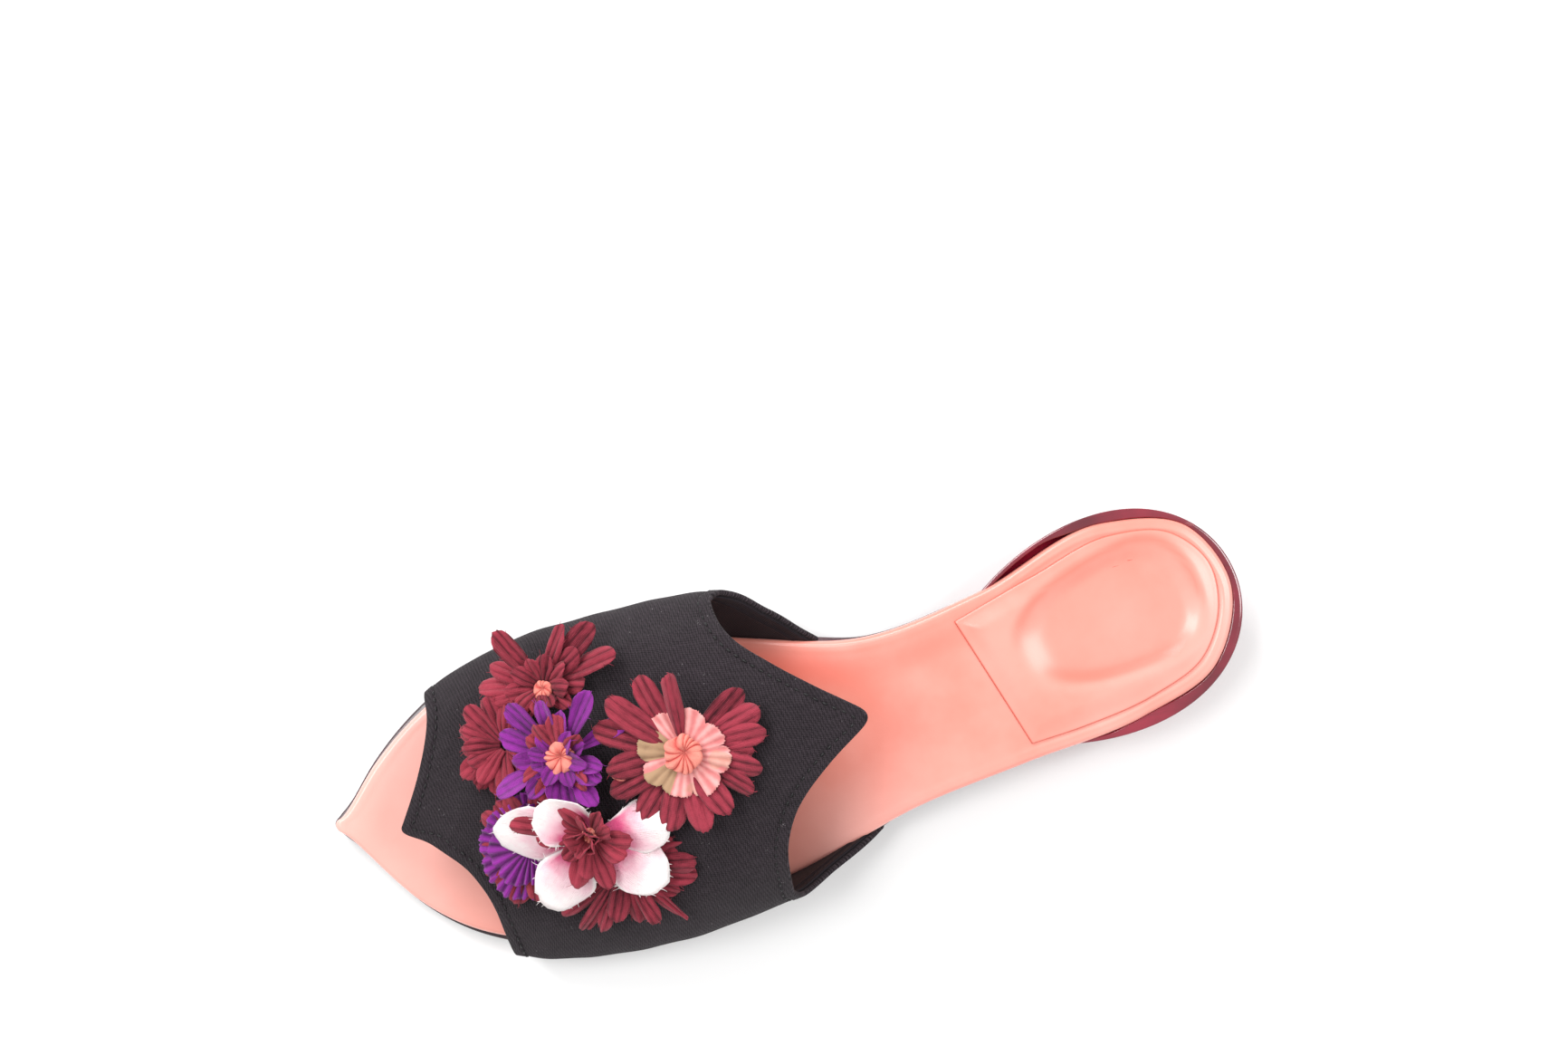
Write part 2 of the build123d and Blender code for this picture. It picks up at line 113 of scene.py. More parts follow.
def along(points, count, closed=False):
    """Evenly spaced places on the smooth curve through some points, by chord length."""
    points = np.asarray(points, float)
    if closed:
        points = np.vstack([points[-3:], points, points[:3]])
    chord = np.concatenate([[0], np.cumsum(np.linalg.norm(np.diff(points, axis=0), axis=1))])
    first, last = (chord[3], chord[-3]) if closed else (chord[0], chord[-1])
    return through(chord, points, np.linspace(first, last, count, endpoint=not closed))


def smoothstep(low, high, x):
    """0 at low, 1 at high, smooth between; low may be the larger."""
    t = np.clip((x - low) / (high - low), 0, 1)
    return t * t * (3 - 2 * t)


def unit(v):
    """Vectors scaled to length 1."""
    return v / np.maximum(np.linalg.norm(v, axis=-1, keepdims=True), 1e-9)


def normals_of(grid):
    """The unit normal at each point of a grid, from the differences to its neighbours."""
    return unit(np.cross(np.gradient(grid, axis=0), np.gradient(grid, axis=1)))


class Sheets:
    """Collects grids of points, with their UVs and tints, and makes them one mesh."""

    def __init__(self):
        self.verts, self.faces, self.uvs, self.tints, self.slots = [], [], [], [], []
        self.count = 0

    def add(self, grid, wrap_rows=False, wrap_cols=False, uv=None, tint=None, slot=0, flip=False):
        """Takes a grid of points as quads, closed round its rows or columns where asked."""
        rows, cols = grid.shape[:2]
        i = np.arange(rows if wrap_rows else rows - 1)[:, None]
        j = np.arange(cols if wrap_cols else cols - 1)[None, :]
        i2, j2 = (i + 1) % rows, (j + 1) % cols
        quads = np.stack([i * cols + j, i2 * cols + j, i2 * cols + j2, i * cols + j2], -1).reshape(-1, 4)
        if flip:
            quads = quads[:, ::-1]
        self.faces.append(quads + self.count)
        self.verts.append(grid.reshape(-1, 3))
        self.uvs.append(np.zeros((rows * cols, 2)) if uv is None else uv.reshape(-1, 2))
        self.tints.append(np.full(rows * cols, 0.5) if tint is None
                          else np.broadcast_to(tint, (rows, cols)).reshape(-1))
        self.slots.append(np.broadcast_to(slot, len(quads)))
        self.count += rows * cols

    def make(self, name, materials, merge=True, outward=False):
        """The mesh object, in metres in the CAD frame, with smooth faces."""
        verts = (np.vstack(self.verts) + SHIFT) * MM
        faces = np.vstack(self.faces)
        mesh = bpy.data.meshes.new(name)
        mesh.from_pydata(verts.tolist(), [], faces.tolist())
        corner = np.empty(len(mesh.loops), dtype=np.int32)
        mesh.loops.foreach_get("vertex_index", corner)
        layer = mesh.uv_layers.new(name="weave")
        layer.data.foreach_set("uv", np.vstack(self.uvs)[corner].ravel().astype(np.float32))
        tint = mesh.attributes.new("tint", "FLOAT", "POINT")
        tint.data.foreach_set("value", np.concatenate(self.tints).astype(np.float32))
        mesh.polygons.foreach_set("material_index", np.concatenate(self.slots).astype(np.int32))
        mesh.polygons.foreach_set("use_smooth", np.ones(len(faces), dtype=bool))
        work = bmesh.new()
        work.from_mesh(mesh)
        if merge:
            bmesh.ops.remove_doubles(work, verts=work.verts, dist=2e-6)
        bmesh.ops.dissolve_degenerate(work, edges=work.edges, dist=1e-7)
        if outward and work.calc_volume(signed=True) < 0:
            bmesh.ops.reverse_faces(work, faces=work.faces)
        work.to_mesh(mesh)
        work.free()
        mesh.update()
        for material in materials:
            mesh.materials.append(material)
        piece = bpy.data.objects.new(name, mesh)
        bpy.context.scene.collection.objects.link(piece)
        return piece


def thicken(piece, thickness):
    """Gives a thin sheet its thickness, half to each side, and closes its rim."""
    solid = piece.modifiers.new("thickness", "SOLIDIFY")
    solid.thickness = thickness * MM
    solid.offset = 0
    return piece


# ---- Shader maths --------------------------------------------------------------------------------
class Wire:
    """A shader socket that can be used in sums: each operator adds its Math node."""

    def __init__(self, shader, socket):
        self.shader, self.socket = shader, socket

    def math(self, operation, *others):
        """Any Math node on this socket."""
        return self.shader.node("ShaderNodeMath", {"operation": operation}, [self, *others])

    def __add__(self, other):
        return self.math("ADD", other)

    def __sub__(self, other):
        return self.math("SUBTRACT", other)

    def __mul__(self, other):
        return self.math("MULTIPLY", other)

    def __truediv__(self, other):
        return self.math("DIVIDE", other)

    def __pow__(self, other):
        return self.math("POWER", other)

    def __rsub__(self, other):
        return self.shader.node("ShaderNodeMath", {"operation": "SUBTRACT"}, [other, self])

    __radd__, __rmul__ = __add__, __mul__

    def step(self, low, high):
        """0 below low, 1 above high, smooth between; the other way round if low is the larger."""
        if low > high:
            return 1 - self.step(high, low)
        return self.shader.node("ShaderNodeMapRange", {"interpolation_type": "SMOOTHSTEP"},
                                {"Value": self, "From Min": low, "From Max": high})


class Shader:
    """A material under construction, with one method for any node."""

    def __init__(self, name, roughness=0.5, color=(0.5, 0.5, 0.5), **constants):
        self.material = bpy.data.materials.new(name)
        self.material.use_nodes = True
        self.tree = self.material.node_tree
        self.surface = self.tree.nodes["Principled BSDF"]
        self.surface.inputs["Roughness"].default_value = roughness
        self.surface.inputs["Base Color"].default_value = (*color, 1)
        for key, value in constants.items():
            self.surface.inputs[key.replace("_", " ")].default_value = value

    def put(self, target, value):
        """Links a wire to a socket, or sets the socket's own value."""
        if isinstance(value, Wire):
            self.tree.links.new(value.socket, target)
        elif isinstance(value, tuple) and len(value) == 3 and target.type == "RGBA":
            target.default_value = (*value, 1)
        else:
            target.default_value = value

    def node(self, kind, settings, inputs, out=0):
        """Adds a node: its settings first, then its inputs by order or by name."""
        made = self.tree.nodes.new(kind)
        for key, value in settings.items():
            setattr(made, key, value)
        pairs = inputs.items() if isinstance(inputs, dict) else enumerate(inputs)
        for key, value in pairs:
            self.put(made.inputs[key], value)
        return Wire(self, made.outputs[out])

    def place(self):
        """Object coordinates."""
        return self.node("ShaderNodeTexCoord", {}, {}, "Object")

    def weave_uv(self):
        """The piece's own UV map, split in two."""
        uv = self.node("ShaderNodeUVMap", {"uv_map": "weave"}, {})
        return uv, *self.split(uv)[:2]

    def split(self, vector):
        """A vector's x, y and z, each as a wire."""
        made = self.node("ShaderNodeSeparateXYZ", {}, [vector]).socket.node
        return [Wire(self, socket) for socket in made.outputs]

    def attribute(self, name):
        """A value that the piece carries at each point."""
        return self.node("ShaderNodeAttribute", {"attribute_name": name}, {}, "Fac")

    def noise(self, vector, scale, detail=2.0, rough=0.5):
        """Smooth noise from 0 to 1, about 0.5 in the middle."""
        return self.node("ShaderNodeTexNoise", {},
                         {"Vector": vector, "Scale": scale, "Detail": detail, "Roughness": rough}, "Fac")

    def mix(self, factor, low, high):
        """A colour between two colours."""
        return self.node("ShaderNodeMix", {"data_type": "RGBA"}, {"Factor": factor, 6: low, 7: high}, 2)

    def set(self, **links):
        """Feeds inputs of the surface, named with underscores for spaces."""
        for key, value in links.items():
            self.put(self.surface.inputs[key.replace("_", " ")], value)

    def bump(self, height, distance, strength=1.0, under=None):
        """A bump in millimetres of height; under is a coarser bump below it."""
        inputs = {"Height": height, "Distance": distance * MM, "Strength": strength}
        if under is not None:
            inputs["Normal"] = under
        return self.node("ShaderNodeBump", {}, inputs, "Normal")


# ---- Materials -----------------------------------------------------------------------------------
YARN, RIB = 0.44, 1.05
TWO_PI = 2 * math.pi


def black_twill():
    """Black cotton twill: yarns YARN mm apart both ways under faint diagonal ribs, with lint."""
    s = Shader("black_twill", 0.88, Sheen_Weight=0.06, Sheen_Roughness=0.5, Specular_IOR_Level=0.18)
    uv, u, v = s.weave_uv()
    wobble = s.noise(uv, 0.12, 3) * 1.2 + s.noise(uv, 0.9, 2) * 0.12
    grain_u, grain_v = u * 0.97 + v * 0.23 + wobble, v * 0.97 - u * 0.23 + wobble
    warp = (grain_u * (TWO_PI / YARN)).math("SINE") * 0.5 + 0.5
    weft = (grain_v * (TWO_PI / YARN)).math("SINE") * 0.5 + 0.5
    ribs = ((grain_u * 0.5 + grain_v) * (TWO_PI / RIB)).math("SINE") * 0.5 + 0.5
    height = warp * weft * 0.8 + ribs * 0.25
    fuzz = s.noise(uv, 2.4, 4, 0.7)
    lint = s.noise(uv, 0.5, 1).step(0.70, 0.73) * s.noise(uv, 2.6, 1).step(0.58, 0.64)
    cloud = s.noise(s.place(), 45, 3)
    slub = s.noise(s.node("ShaderNodeMapping", {}, {"Vector": uv, "Scale": (0.9, 0.25, 1.0)}), 1.0, 3, 0.6)
    tone = height * 0.72 + fuzz * 0.35 + slub * 0.35 + cloud * 0.15
    color = s.mix(tone.step(0.28, 1.15), (0.0030, 0.0015, 0.0025), (0.062, 0.047, 0.057))
    s.set(Base_Color=s.mix(lint * 0.5, color, (0.30, 0.28, 0.29)))
    s.set(Normal=s.bump(height + fuzz * 0.4, 0.22, 1.0))
    return s.material


def dark_lining():
    """Plum-black lining cloth with a fine plain weave."""
    s = Shader("dark_lining", 0.7, Sheen_Weight=0.05, Specular_IOR_Level=0.25)
    uv, u, v = s.weave_uv()
    weave = (u * 9).math("SINE") * (v * 9).math("SINE")
    cloud = s.noise(s.place(), 60, 3)
    s.set(Base_Color=s.mix(cloud, (0.004, 0.003, 0.005), (0.016, 0.010, 0.015)))
    s.set(Normal=s.bump(weave + s.noise(uv, 1.2, 3), 0.06, 0.7))
    return s.material


def coral_leather():
    """Coral kid leather with a pearly finish and faint mottling, paler towards the toe. The tint
    paints shade on it: deeper coral where it is moderate, a dark red line where it is high."""
    s = Shader("coral_leather", 0.34, Coat_Roughness=0.22, Sheen_Weight=0.10)
    place = s.place()
    cloud = s.noise(place, 28, 4, 0.6)
    grain = s.noise(place, 1500, 2)
    pores = s.noise(place, 5200, 1)
    # the tint carries painted shade: on the footbed's waist, on the heel cup's walls and floor, and a dark
    # line at the sock's rim
    edge = s.attribute("tint")
    color = s.mix(cloud.step(0.3, 0.75), (0.83, 0.245, 0.185), (0.90, 0.325, 0.262))
    worn = s.noise(place, 9, 2).step(0.48, 0.68)
    color = s.mix(worn * 0.55, color, (0.94, 0.49, 0.43))
    forward = s.split(place)[0].step(-0.07, -0.11)
    color = s.mix(forward * 0.45, color, (0.95, 0.55, 0.49))
    # painted shade: deeper coral where the tint is moderate
    color = s.mix(edge.step(0.03, 0.5) * 0.85, color, (0.86, 0.165, 0.115))
    # painted shade: a dark red line where the tint is high, along the sock's rim
    color = s.mix(edge.step(0.62, 0.9) * 0.8, color, (0.30, 0.05, 0.03))
    s.set(Base_Color=color, Roughness=0.26 + cloud * 0.2, Coat_Weight=0.5 + worn * 0.3)
    s.set(Normal=s.bump(pores * 0.5 + grain, 0.035, 0.5, s.bump(s.noise(place, 220, 3), 0.12, 0.35)))
    return s.material


def heel_lacquer():
    """High-gloss burgundy lacquer over wood, with a dark bloom, fine grain and worn scratches."""
    s = Shader("heel_lacquer", 0.22, Coat_Roughness=0.05, Coat_IOR=1.55)
    place = s.place()
    cloud = s.noise(place, 32, 4, 0.6)
    stretched = s.node("ShaderNodeMapping", {}, {"Vector": place, "Scale": (35.0, 700.0, 320.0)})
    streak = s.noise(stretched, 1.0, 4, 0.65)
    color = s.mix(cloud.step(0.25, 0.75), (0.10, 0.003, 0.012), (0.30, 0.010, 0.034))
    color = s.mix(streak.step(0.55, 0.75) * 0.35, color, (0.045, 0.001, 0.005))
    scuff = s.noise(stretched, 0.4, 3).step(0.66, 0.70) * s.noise(place, 90, 2).step(0.5, 0.7)
    s.set(Base_Color=s.mix(scuff * 0.3, color, (0.4, 0.12, 0.12)))
    s.set(Roughness=0.16 + scuff * 0.35, Coat_Weight=1.0 - scuff * 0.5)
    s.set(Normal=s.bump(s.noise(place, 120, 2), 0.05, 0.12))
    return s.material


def sole_lacquer():
    """Dark burgundy lacquered sole leather, scuffed, with a worn tan patch under the ball."""
    s = Shader("sole_lacquer", 0.3, Coat_Roughness=0.12)
    place = s.place()
    x, y, z = s.split(place)
    cloud = s.noise(place, 30, 4, 0.6)
    drawn_out = s.node("ShaderNodeMapping", {},
                       {"Vector": place, "Rotation": (0.0, 0.0, 0.3), "Scale": (60.0, 1400.0, 60.0)})
    scratches = s.noise(drawn_out, 1.0, 3, 0.7)
    low = z.step(0.0055, 0.0008)
    ball = ((x + 0.055) * 22).math("POWER", 2) + (y * 24).math("POWER", 2)
    wear = (ball + cloud * 1.1).step(1.35, 0.55) * low
    color = s.mix(cloud.step(0.3, 0.7), (0.016, 0.003, 0.007), (0.050, 0.007, 0.016))
    color = s.mix(scratches.step(0.60, 0.70) * low * 0.5, color, (0.20, 0.08, 0.07))
    s.set(Base_Color=s.mix(wear * 0.75, color, (0.33, 0.19, 0.12)))
    s.set(Roughness=0.22 + wear * 0.4 + scratches * 0.12, Coat_Weight=(0.25 + low * 0.6) - wear * 0.7)
    s.set(Normal=s.bump(scratches, 0.05, 0.3))
    return s.material


def petal_cloth(name, deep, light, tip=None, satin=0.0):
    """Stiffened petal cloth: a plain weave along the petal's own UV, with painted shade in its creases, and
    each petal a little different. UV v runs from the petal's root to its tip."""
    s = Shader(name, 0.85 - 0.35 * satin, Sheen_Weight=0.08 + 0.1 * satin,
               Specular_IOR_Level=0.25 + 0.2 * satin)
    uv, u, v = s.weave_uv()
    tint = s.attribute("tint")
    weave = (u * 15).math("SINE") * 0.5 + (v * 16).math("SINE") * 0.5
    stain = s.noise(s.place(), 260, 3)
    strands = s.node("ShaderNodeMapping", {}, {"Vector": uv, "Scale": (3.4, 0.35, 1.0)})
    streak = s.noise(strands, 1.0, 4, 0.65)
    # the tint drops in each petal's creases, which gives them painted shade
    tone = tint * 0.62 + streak * 0.55 + stain * 0.38 + weave * 0.06
    color = s.mix(tone.step(0.42, 1.12), deep, light)
    if tip is not None:
        reach = s.attribute("reach")
        root, middle, end = tip
        color = s.mix((reach + stain * 0.25).step(0.42, 0.72), root, middle)
        color = s.mix((reach + stain * 0.45).step(0.70, 1.12), color, end)
        color = s.mix((streak + stain * 0.5).step(0.82, 1.05) * 0.35, color, middle)
        # painted shade: the blossom's creases take the deep root colour
        color = s.mix((1 - tint).step(0.75, 1.05) * 0.5, color, root)
    s.set(Base_Color=color)
    s.set(Normal=s.bump(weave * 0.4 + streak * 4 + s.noise(uv, 0.9, 3) * 2, 0.10, 0.9))
    return s.material


def ruffle_cloth():
    """Salmon pleated cloth, with painted shade in its pleat valleys and between its lobes, whose lobes turn
    tan on one side of the flower.
    """
    s = Shader("ruffle_cloth", 0.75, Sheen_Weight=0.2)
    _, u, v = s.weave_uv()
    tint = s.attribute("tint")
    stain = s.noise(s.place(), 300, 3)
    weave = (u * 14).math("SINE") * 0.5 + (v * 15).math("SINE") * 0.5
    pink = s.mix((tint * 0.7 + stain * 0.7).step(0.50, 1.15), (0.58, 0.16, 0.16), (0.83, 0.40, 0.38))
    tan = s.mix((tint * 2 + stain).step(0.2, 0.9), (0.20, 0.11, 0.055), (0.38, 0.235, 0.13))
    blotch = s.noise(s.place(), 150, 1).step(0.60, 0.66)
    s.set(Base_Color=s.mix((tint.step(0.36, 0.32) + blotch * 0.4).math("MINIMUM", 1.0), pink, tan))
    s.set(Normal=s.bump(weave * 0.5 + stain, 0.05, 0.6))
    return s.material


def plain(name, color, roughness, scale=600, bump=0.05, metallic=0.0):
    """A quiet finish for pieces inside or under the shoe: a mottled colour and a fine grain."""
    s = Shader(name, roughness, color, Metallic=metallic)
    grain = s.noise(s.place(), scale, 3)
    dark = tuple(c * 0.75 for c in color)
    s.set(Base_Color=s.mix(grain, dark, color), Roughness=roughness + grain * 0.1 - 0.05)
    s.set(Normal=s.bump(grain, bump, 0.5))
    return s.material


# ---- The shoe's outline --------------------------------------------------------------------------
outline = along([TOE, *MEDIAL, *HEEL_END, *LATERAL, TOE], 6000)
turn = int(np.argmax(outline[:, 0]))
HEEL_X = outline[turn, 0]
TIP_X = TOE[0] - 1.0
TIP_WELT, TIP_REACH = 0.7, 6.0


def edge_y(side, x):
    """The footbed's edge at x: side 1 is medial, -1 lateral. The two halves of the outline give a
    middle and a half width; near the toe the half width gains the square root of the distance
    from the tip, which rounds the point, and the lateral side a little fullness."""
    medial, lateral = outline[:turn + 1], outline[turn:][::-1]
    upper = np.interp(x, medial[:, 0], medial[:, 1])
    lower = np.interp(x, lateral[:, 0], lateral[:, 1]) - 1.5 * np.exp(-(((x + 101) / 15) ** 2))
    lower = np.where(x < TOE[0], TOE[1], lower)
    d = np.maximum(x - TIP_X, 0)
    half = np.sqrt(((upper - lower) / 2) ** 2 + 4.5 * d * np.exp(-d / 2.6))
    return (upper + lower) / 2 + 0.9 * np.exp(-d / 5) + side * half


def welt(x):
    """How far the outsole stands out from the footbed: most at the ball, none behind the waist."""
    ends = 0.4 * smoothstep(-85, -110, x) - 0.5 * smoothstep(15, 28, x)
    return 0.5 + 1.9 * np.exp(-(((x + 45) / 56) ** 4)) + ends


def top_z(x):
    """Height of the footbed's top."""
    line = np.array(FOOTBED_LINE)
    return through(line[:, 0], line[:, 1], x)


def sole_y(side, x):
    """The outsole's own edge: the footbed's, moved forwards at the tip and out by the welt."""
    drawn_back = TIP_X + (x - TIP_X + TIP_WELT) * TIP_REACH / (TIP_REACH + TIP_WELT)
    edge = edge_y(side, np.where(x < TIP_X + TIP_REACH, drawn_back, x))
    return edge + side * welt(x) * smoothstep(-TIP_WELT, 2.5, x - TIP_X)


# ---- Vamp ----------------------------------------------------------------------------------------
def arch(x, v):
    """The vamp's surface: x runs along the shoe and v across it, from 0 at the lateral feather
    edge over the ridge at 0.5 to 1 at the medial one. Each side is a smooth curve through feather,
    wall, shoulder, roof and ridge, whose places come from the stations."""
    stations = np.array(STATIONS, float)
    ridge, ridge_y, lean_lateral, lean_medial = (
        through(stations[:, 0], stations[:, k], x) for k in (1, 2, 3, 4))
    foot_z = top_z(x) - FOOTBED_T
    side = np.where(v < 0.5, -1.0, 1.0)
    lean = np.where(v < 0.5, lean_lateral, lean_medial)
    foot_y = np.where(v < 0.5, sole_y(-1, x), sole_y(1, x))
    wall_y = foot_y + side * lean
    s = np.where(v < 0.5, v, 1 - v)
    reach = wall_y - ridge_y
    shape_y = np.stack([foot_y, foot_y + side * lean * 0.55, wall_y, ridge_y + reach * SHOULDER_SHARE,
                        ridge_y + reach * ROOF_SHARE, ridge_y], -1)
    knots = np.array(ARCH_KNOTS)
    mirrored = np.concatenate([knots, [1 - knots[-2]]])
    rise = np.array([*ARCH_RISE, ARCH_RISE[-2]])
    other = np.where(v < 0.5, sole_y(1, x) + lean_medial, sole_y(-1, x) - lean_lateral)
    across = np.concatenate([shape_y, (ridge_y + (other - ridge_y) * ROOF_SHARE)[..., None]], -1)
    slopes = np.gradient(across, mirrored, axis=-1)
    rise_slopes = np.gradient(rise, mirrored)
    i = np.clip(np.searchsorted(mirrored, s) - 1, 0, len(ARCH_KNOTS) - 2)
    step = mirrored[i + 1] - mirrored[i]
    t = (s - mirrored[i]) / step
    a, b = 2 * t**3 - 3 * t**2 + 1, t**3 - 2 * t**2 + t
    c, d = 3 * t**2 - 2 * t**3, t**3 - t**2

    def pick(values, index):
        """The value at each place's own index."""
        return np.take_along_axis(values, index[..., None], -1)[..., 0]

    y = (pick(across, i) * a + pick(slopes, i) * step * b + pick(across, i + 1) * c
         + pick(slopes, i + 1) * step * d)
    z = rise[i] * a + rise_slopes[i] * step * b + rise[i + 1] * c + rise_slopes[i + 1] * step * d
    return np.stack([x + 0 * y, y, foot_z + (ridge - foot_z) * z], -1)


def cut_edge(v, edge, start):
    """Where each line of constant v meets a cut edge x = edge(y, z), found by repeated halving
    of the error."""
    x = np.full_like(v, float(start))
    for _ in range(80):
        p = arch(x, v)
        x = x + 0.5 * (edge(p[..., 1], p[..., 2]) - x)
    return x


def toe_edge(y, _z):
    """The front edge in plan: two hollow curves that meet in a peak, averaged over a short
    stretch of y, which rounds the peak."""
    lateral, medial = np.array(TOE_LATERAL), np.array(TOE_MEDIAL)
    near = [np.where(t < TOE_PEAK_Y, through(lateral[:, 0], lateral[:, 1], np.minimum(t, TOE_PEAK_Y)),
                     through(medial[:, 0], medial[:, 1], np.maximum(t, TOE_PEAK_Y)))
            for t in (y + shift for shift in np.linspace(-1.5, 1.5, 9))]
    return np.mean(near, 0)


def throat_edge(y, z):
    """The throat: in plan above the shoulders, and along each side wall below them."""
    lateral, medial = np.array(THROAT_LATERAL), np.array(THROAT_MEDIAL)
    over = np.mean([np.where(t < lateral[-1, 0],
                             through(lateral[:, 0], lateral[:, 1], np.minimum(t, lateral[-1, 0])),
                             through(medial[:, 0], medial[:, 1], np.maximum(t, medial[0, 0])))
                    for t in (y + shift for shift in np.linspace(-2.4, 2.4, 9))], 0)
    wall_l, wall_m = np.array(WALL_LATERAL), np.array(WALL_MEDIAL)
    wall = np.where(y < 0, through(wall_l[:, 0], wall_l[:, 1], np.minimum(z, SHOULDER_Z)),
                    through(wall_m[:, 0], wall_m[:, 1], np.minimum(z, SHOULDER_Z)))
    return np.where(z > SHOULDER_Z, over, wall)


HALF_V = 0.5 * (1 - (1 - np.linspace(0, 1, 112)) ** 1.3)
VAMP_V = np.concatenate([HALF_V, 1 - HALF_V[::-1][1:]])
RIDGE = len(HALF_V) - 1
FRONT_X = cut_edge(VAMP_V, toe_edge, -95)
BACK_X = cut_edge(VAMP_V, throat_edge, 0)


def slant(edge_x):
    """Distance from a cut edge for each millimetre along x, at each v, averaged over nine."""
    edge = arch(edge_x, VAMP_V)
    run = unit(np.gradient(edge, axis=0))
    ahead = unit(arch(edge_x + 0.5, VAMP_V) - arch(edge_x - 0.5, VAMP_V))
    square = np.sqrt(np.maximum(1 - (run * ahead).sum(-1) ** 2, 0.12))
    return np.convolve(np.pad(square, 4, mode="edge"), np.ones(9) / 9, "valid")


FRONT_SLANT, BACK_SLANT = slant(FRONT_X), slant(BACK_X)
HEM = 2.6


def hem(distance):
    """The turned edge: a doubled thickness that rolls off before the stitching, and a groove
    where the stitches pull it down."""
    fold = 0.30 * smoothstep(HEM + 0.5, HEM - 0.7, distance)
    return fold - 0.22 * np.exp(-(((distance - HEM) / 0.45) ** 2))


def undulation(points):
    """Slight unevenness of cloth that has been drawn over a last, under a third of a millimetre."""
    x, y = points[..., 0], points[..., 1]
    return (0.14 * np.sin(x * 0.21 + y * 0.13) * np.sin(y * 0.17 - x * 0.06)
            + 0.09 * np.sin(x * 0.43 - y * 0.31 + 1.3))


def vamp_grid(rows=150, inset_back=0.0, inset_front=0.0):
    """Points and normals of the vamp's outside between its edges, with its cloth UV in mm. The
    rows are closer together towards both edges."""
    even = np.linspace(0, 1, rows)
    share = (0.45 * even + 0.55 * (1 - np.cos(math.pi * even)) / 2)[:, None]
    back, front = BACK_X - inset_back, FRONT_X + inset_front
    x = back + (front - back) * share
    v = np.broadcast_to(VAMP_V, x.shape)
    grid = arch(x, v)
    normal = -normals_of(grid)
    if normal[rows // 2, RIDGE, 2] < 0:
        normal = -normal
    from_back, from_front = (back - x) * BACK_SLANT, (x - front) * FRONT_SLANT
    proud = undulation(grid) + hem(from_back) + hem(from_front)
    uv = np.stack([(v - 0.5) * CLOTH_WIDTH, x], -1)
    return grid + normal * proud[..., None], normal, uv


def shell(name, outer_depth, inner_depth, material, inset):
    """A closed layer of the vamp between two depths below its outside. Its front and back edges
    are half rounds: the depth follows a cosine and the edge bulges by a sine."""
    grid, normal, uv = vamp_grid(inset_back=inset, inset_front=inset)
    outer = grid - normal * outer_depth
    inner = grid - normal * inner_depth
    half = (inner_depth - outer_depth) / 2
    rows_out = unit(grid[0] - grid[1])
    rows_end = unit(grid[-1] - grid[-2])
    phi = np.linspace(0, math.pi, 9)[1:-1][:, None, None]
    back = (grid[0] - normal[0] * (outer_depth + half) + normal[0] * half * np.cos(math.pi - phi)
            + rows_out * half * 0.8 * np.sin(phi))
    front = (grid[-1] - normal[-1] * (outer_depth + half) + normal[-1] * half * np.cos(phi)
             + rows_end * half * 0.8 * np.sin(phi))
    loop = np.concatenate([outer, front, inner[::-1], back], 0)
    front_uv = np.broadcast_to(uv[-1], front.shape[:2] + (2,))
    back_uv = np.broadcast_to(uv[0], back.shape[:2] + (2,))
    loop_uv = np.concatenate([uv, front_uv, uv[::-1], back_uv], 0)
    sheets = Sheets()
    sheets.add(loop, wrap_rows=True, uv=loop_uv)
    for column in (0, -1):
        strip = np.stack([outer[:, column], inner[:, column]], 1)
        sheets.add(strip, uv=np.stack([uv[:, column], uv[:, column]], 1), flip=column == 0)
    return sheets.make(name, [material], outward=True)


def stitches(name, edge_x, square, sign, material, pitch=2.7):
    """A row of short thread stitches beside an edge: capsules laid along it, evenly spaced."""
    v = np.linspace(0.02, 0.98, 1500)
    x = np.interp(v, VAMP_V, edge_x) + sign * HEM / np.interp(v, VAMP_V, square)
    line = arch(x, v)
    step = arch(x, np.clip(v + 1e-3, 0, 1)) - arch(x, np.clip(v - 1e-3, 0, 1))
    ahead = arch(x + 0.5, v) - arch(x - 0.5, v)
    up = unit(np.cross(ahead, step))
    up = np.where((up[:, 2] < 0)[:, None] & (np.abs(up[:, 2:3]) > 0.3), -up, up)
    outward = line - np.array([line[:, 0].mean(), -5, 12])
    up = np.where((np.sum(up * outward, -1) < 0)[:, None], -up, up)
    run = np.concatenate([[0], np.cumsum(np.linalg.norm(np.diff(line, axis=0), axis=1))])
    sheets = Sheets()
    ring = np.linspace(0, 2 * math.pi, 7)[:-1]
    for start in np.arange(1.5, run[-1] - 2.5, pitch):
        at = start + np.linspace(0, 1.75, 7)
        centre = np.stack([np.interp(at, run, line[:, k]) for k in range(3)], -1)
        lift = unit(np.stack([np.interp(at, run, up[:, k]) for k in range(3)], -1))
        tangent = unit(np.gradient(centre, axis=0))
        side = np.cross(tangent, lift)
        swell = np.sqrt(np.maximum(1 - np.linspace(-1, 1, 7) ** 2, 0.0))
        centre = centre + lift * (-0.16 + 0.22 * swell[:, None])
        radius = 0.30 * swell[:, None, None]
        tube = (centre[:, None] + radius * (np.cos(ring)[None, :, None] * side[:, None]
                                            + np.sin(ring)[None, :, None] * lift[:, None]))
        sheets.add(tube, wrap_cols=True, uv=np.zeros(tube.shape[:2] + (2,)))
    return sheets.make(name, [material], outward=True)


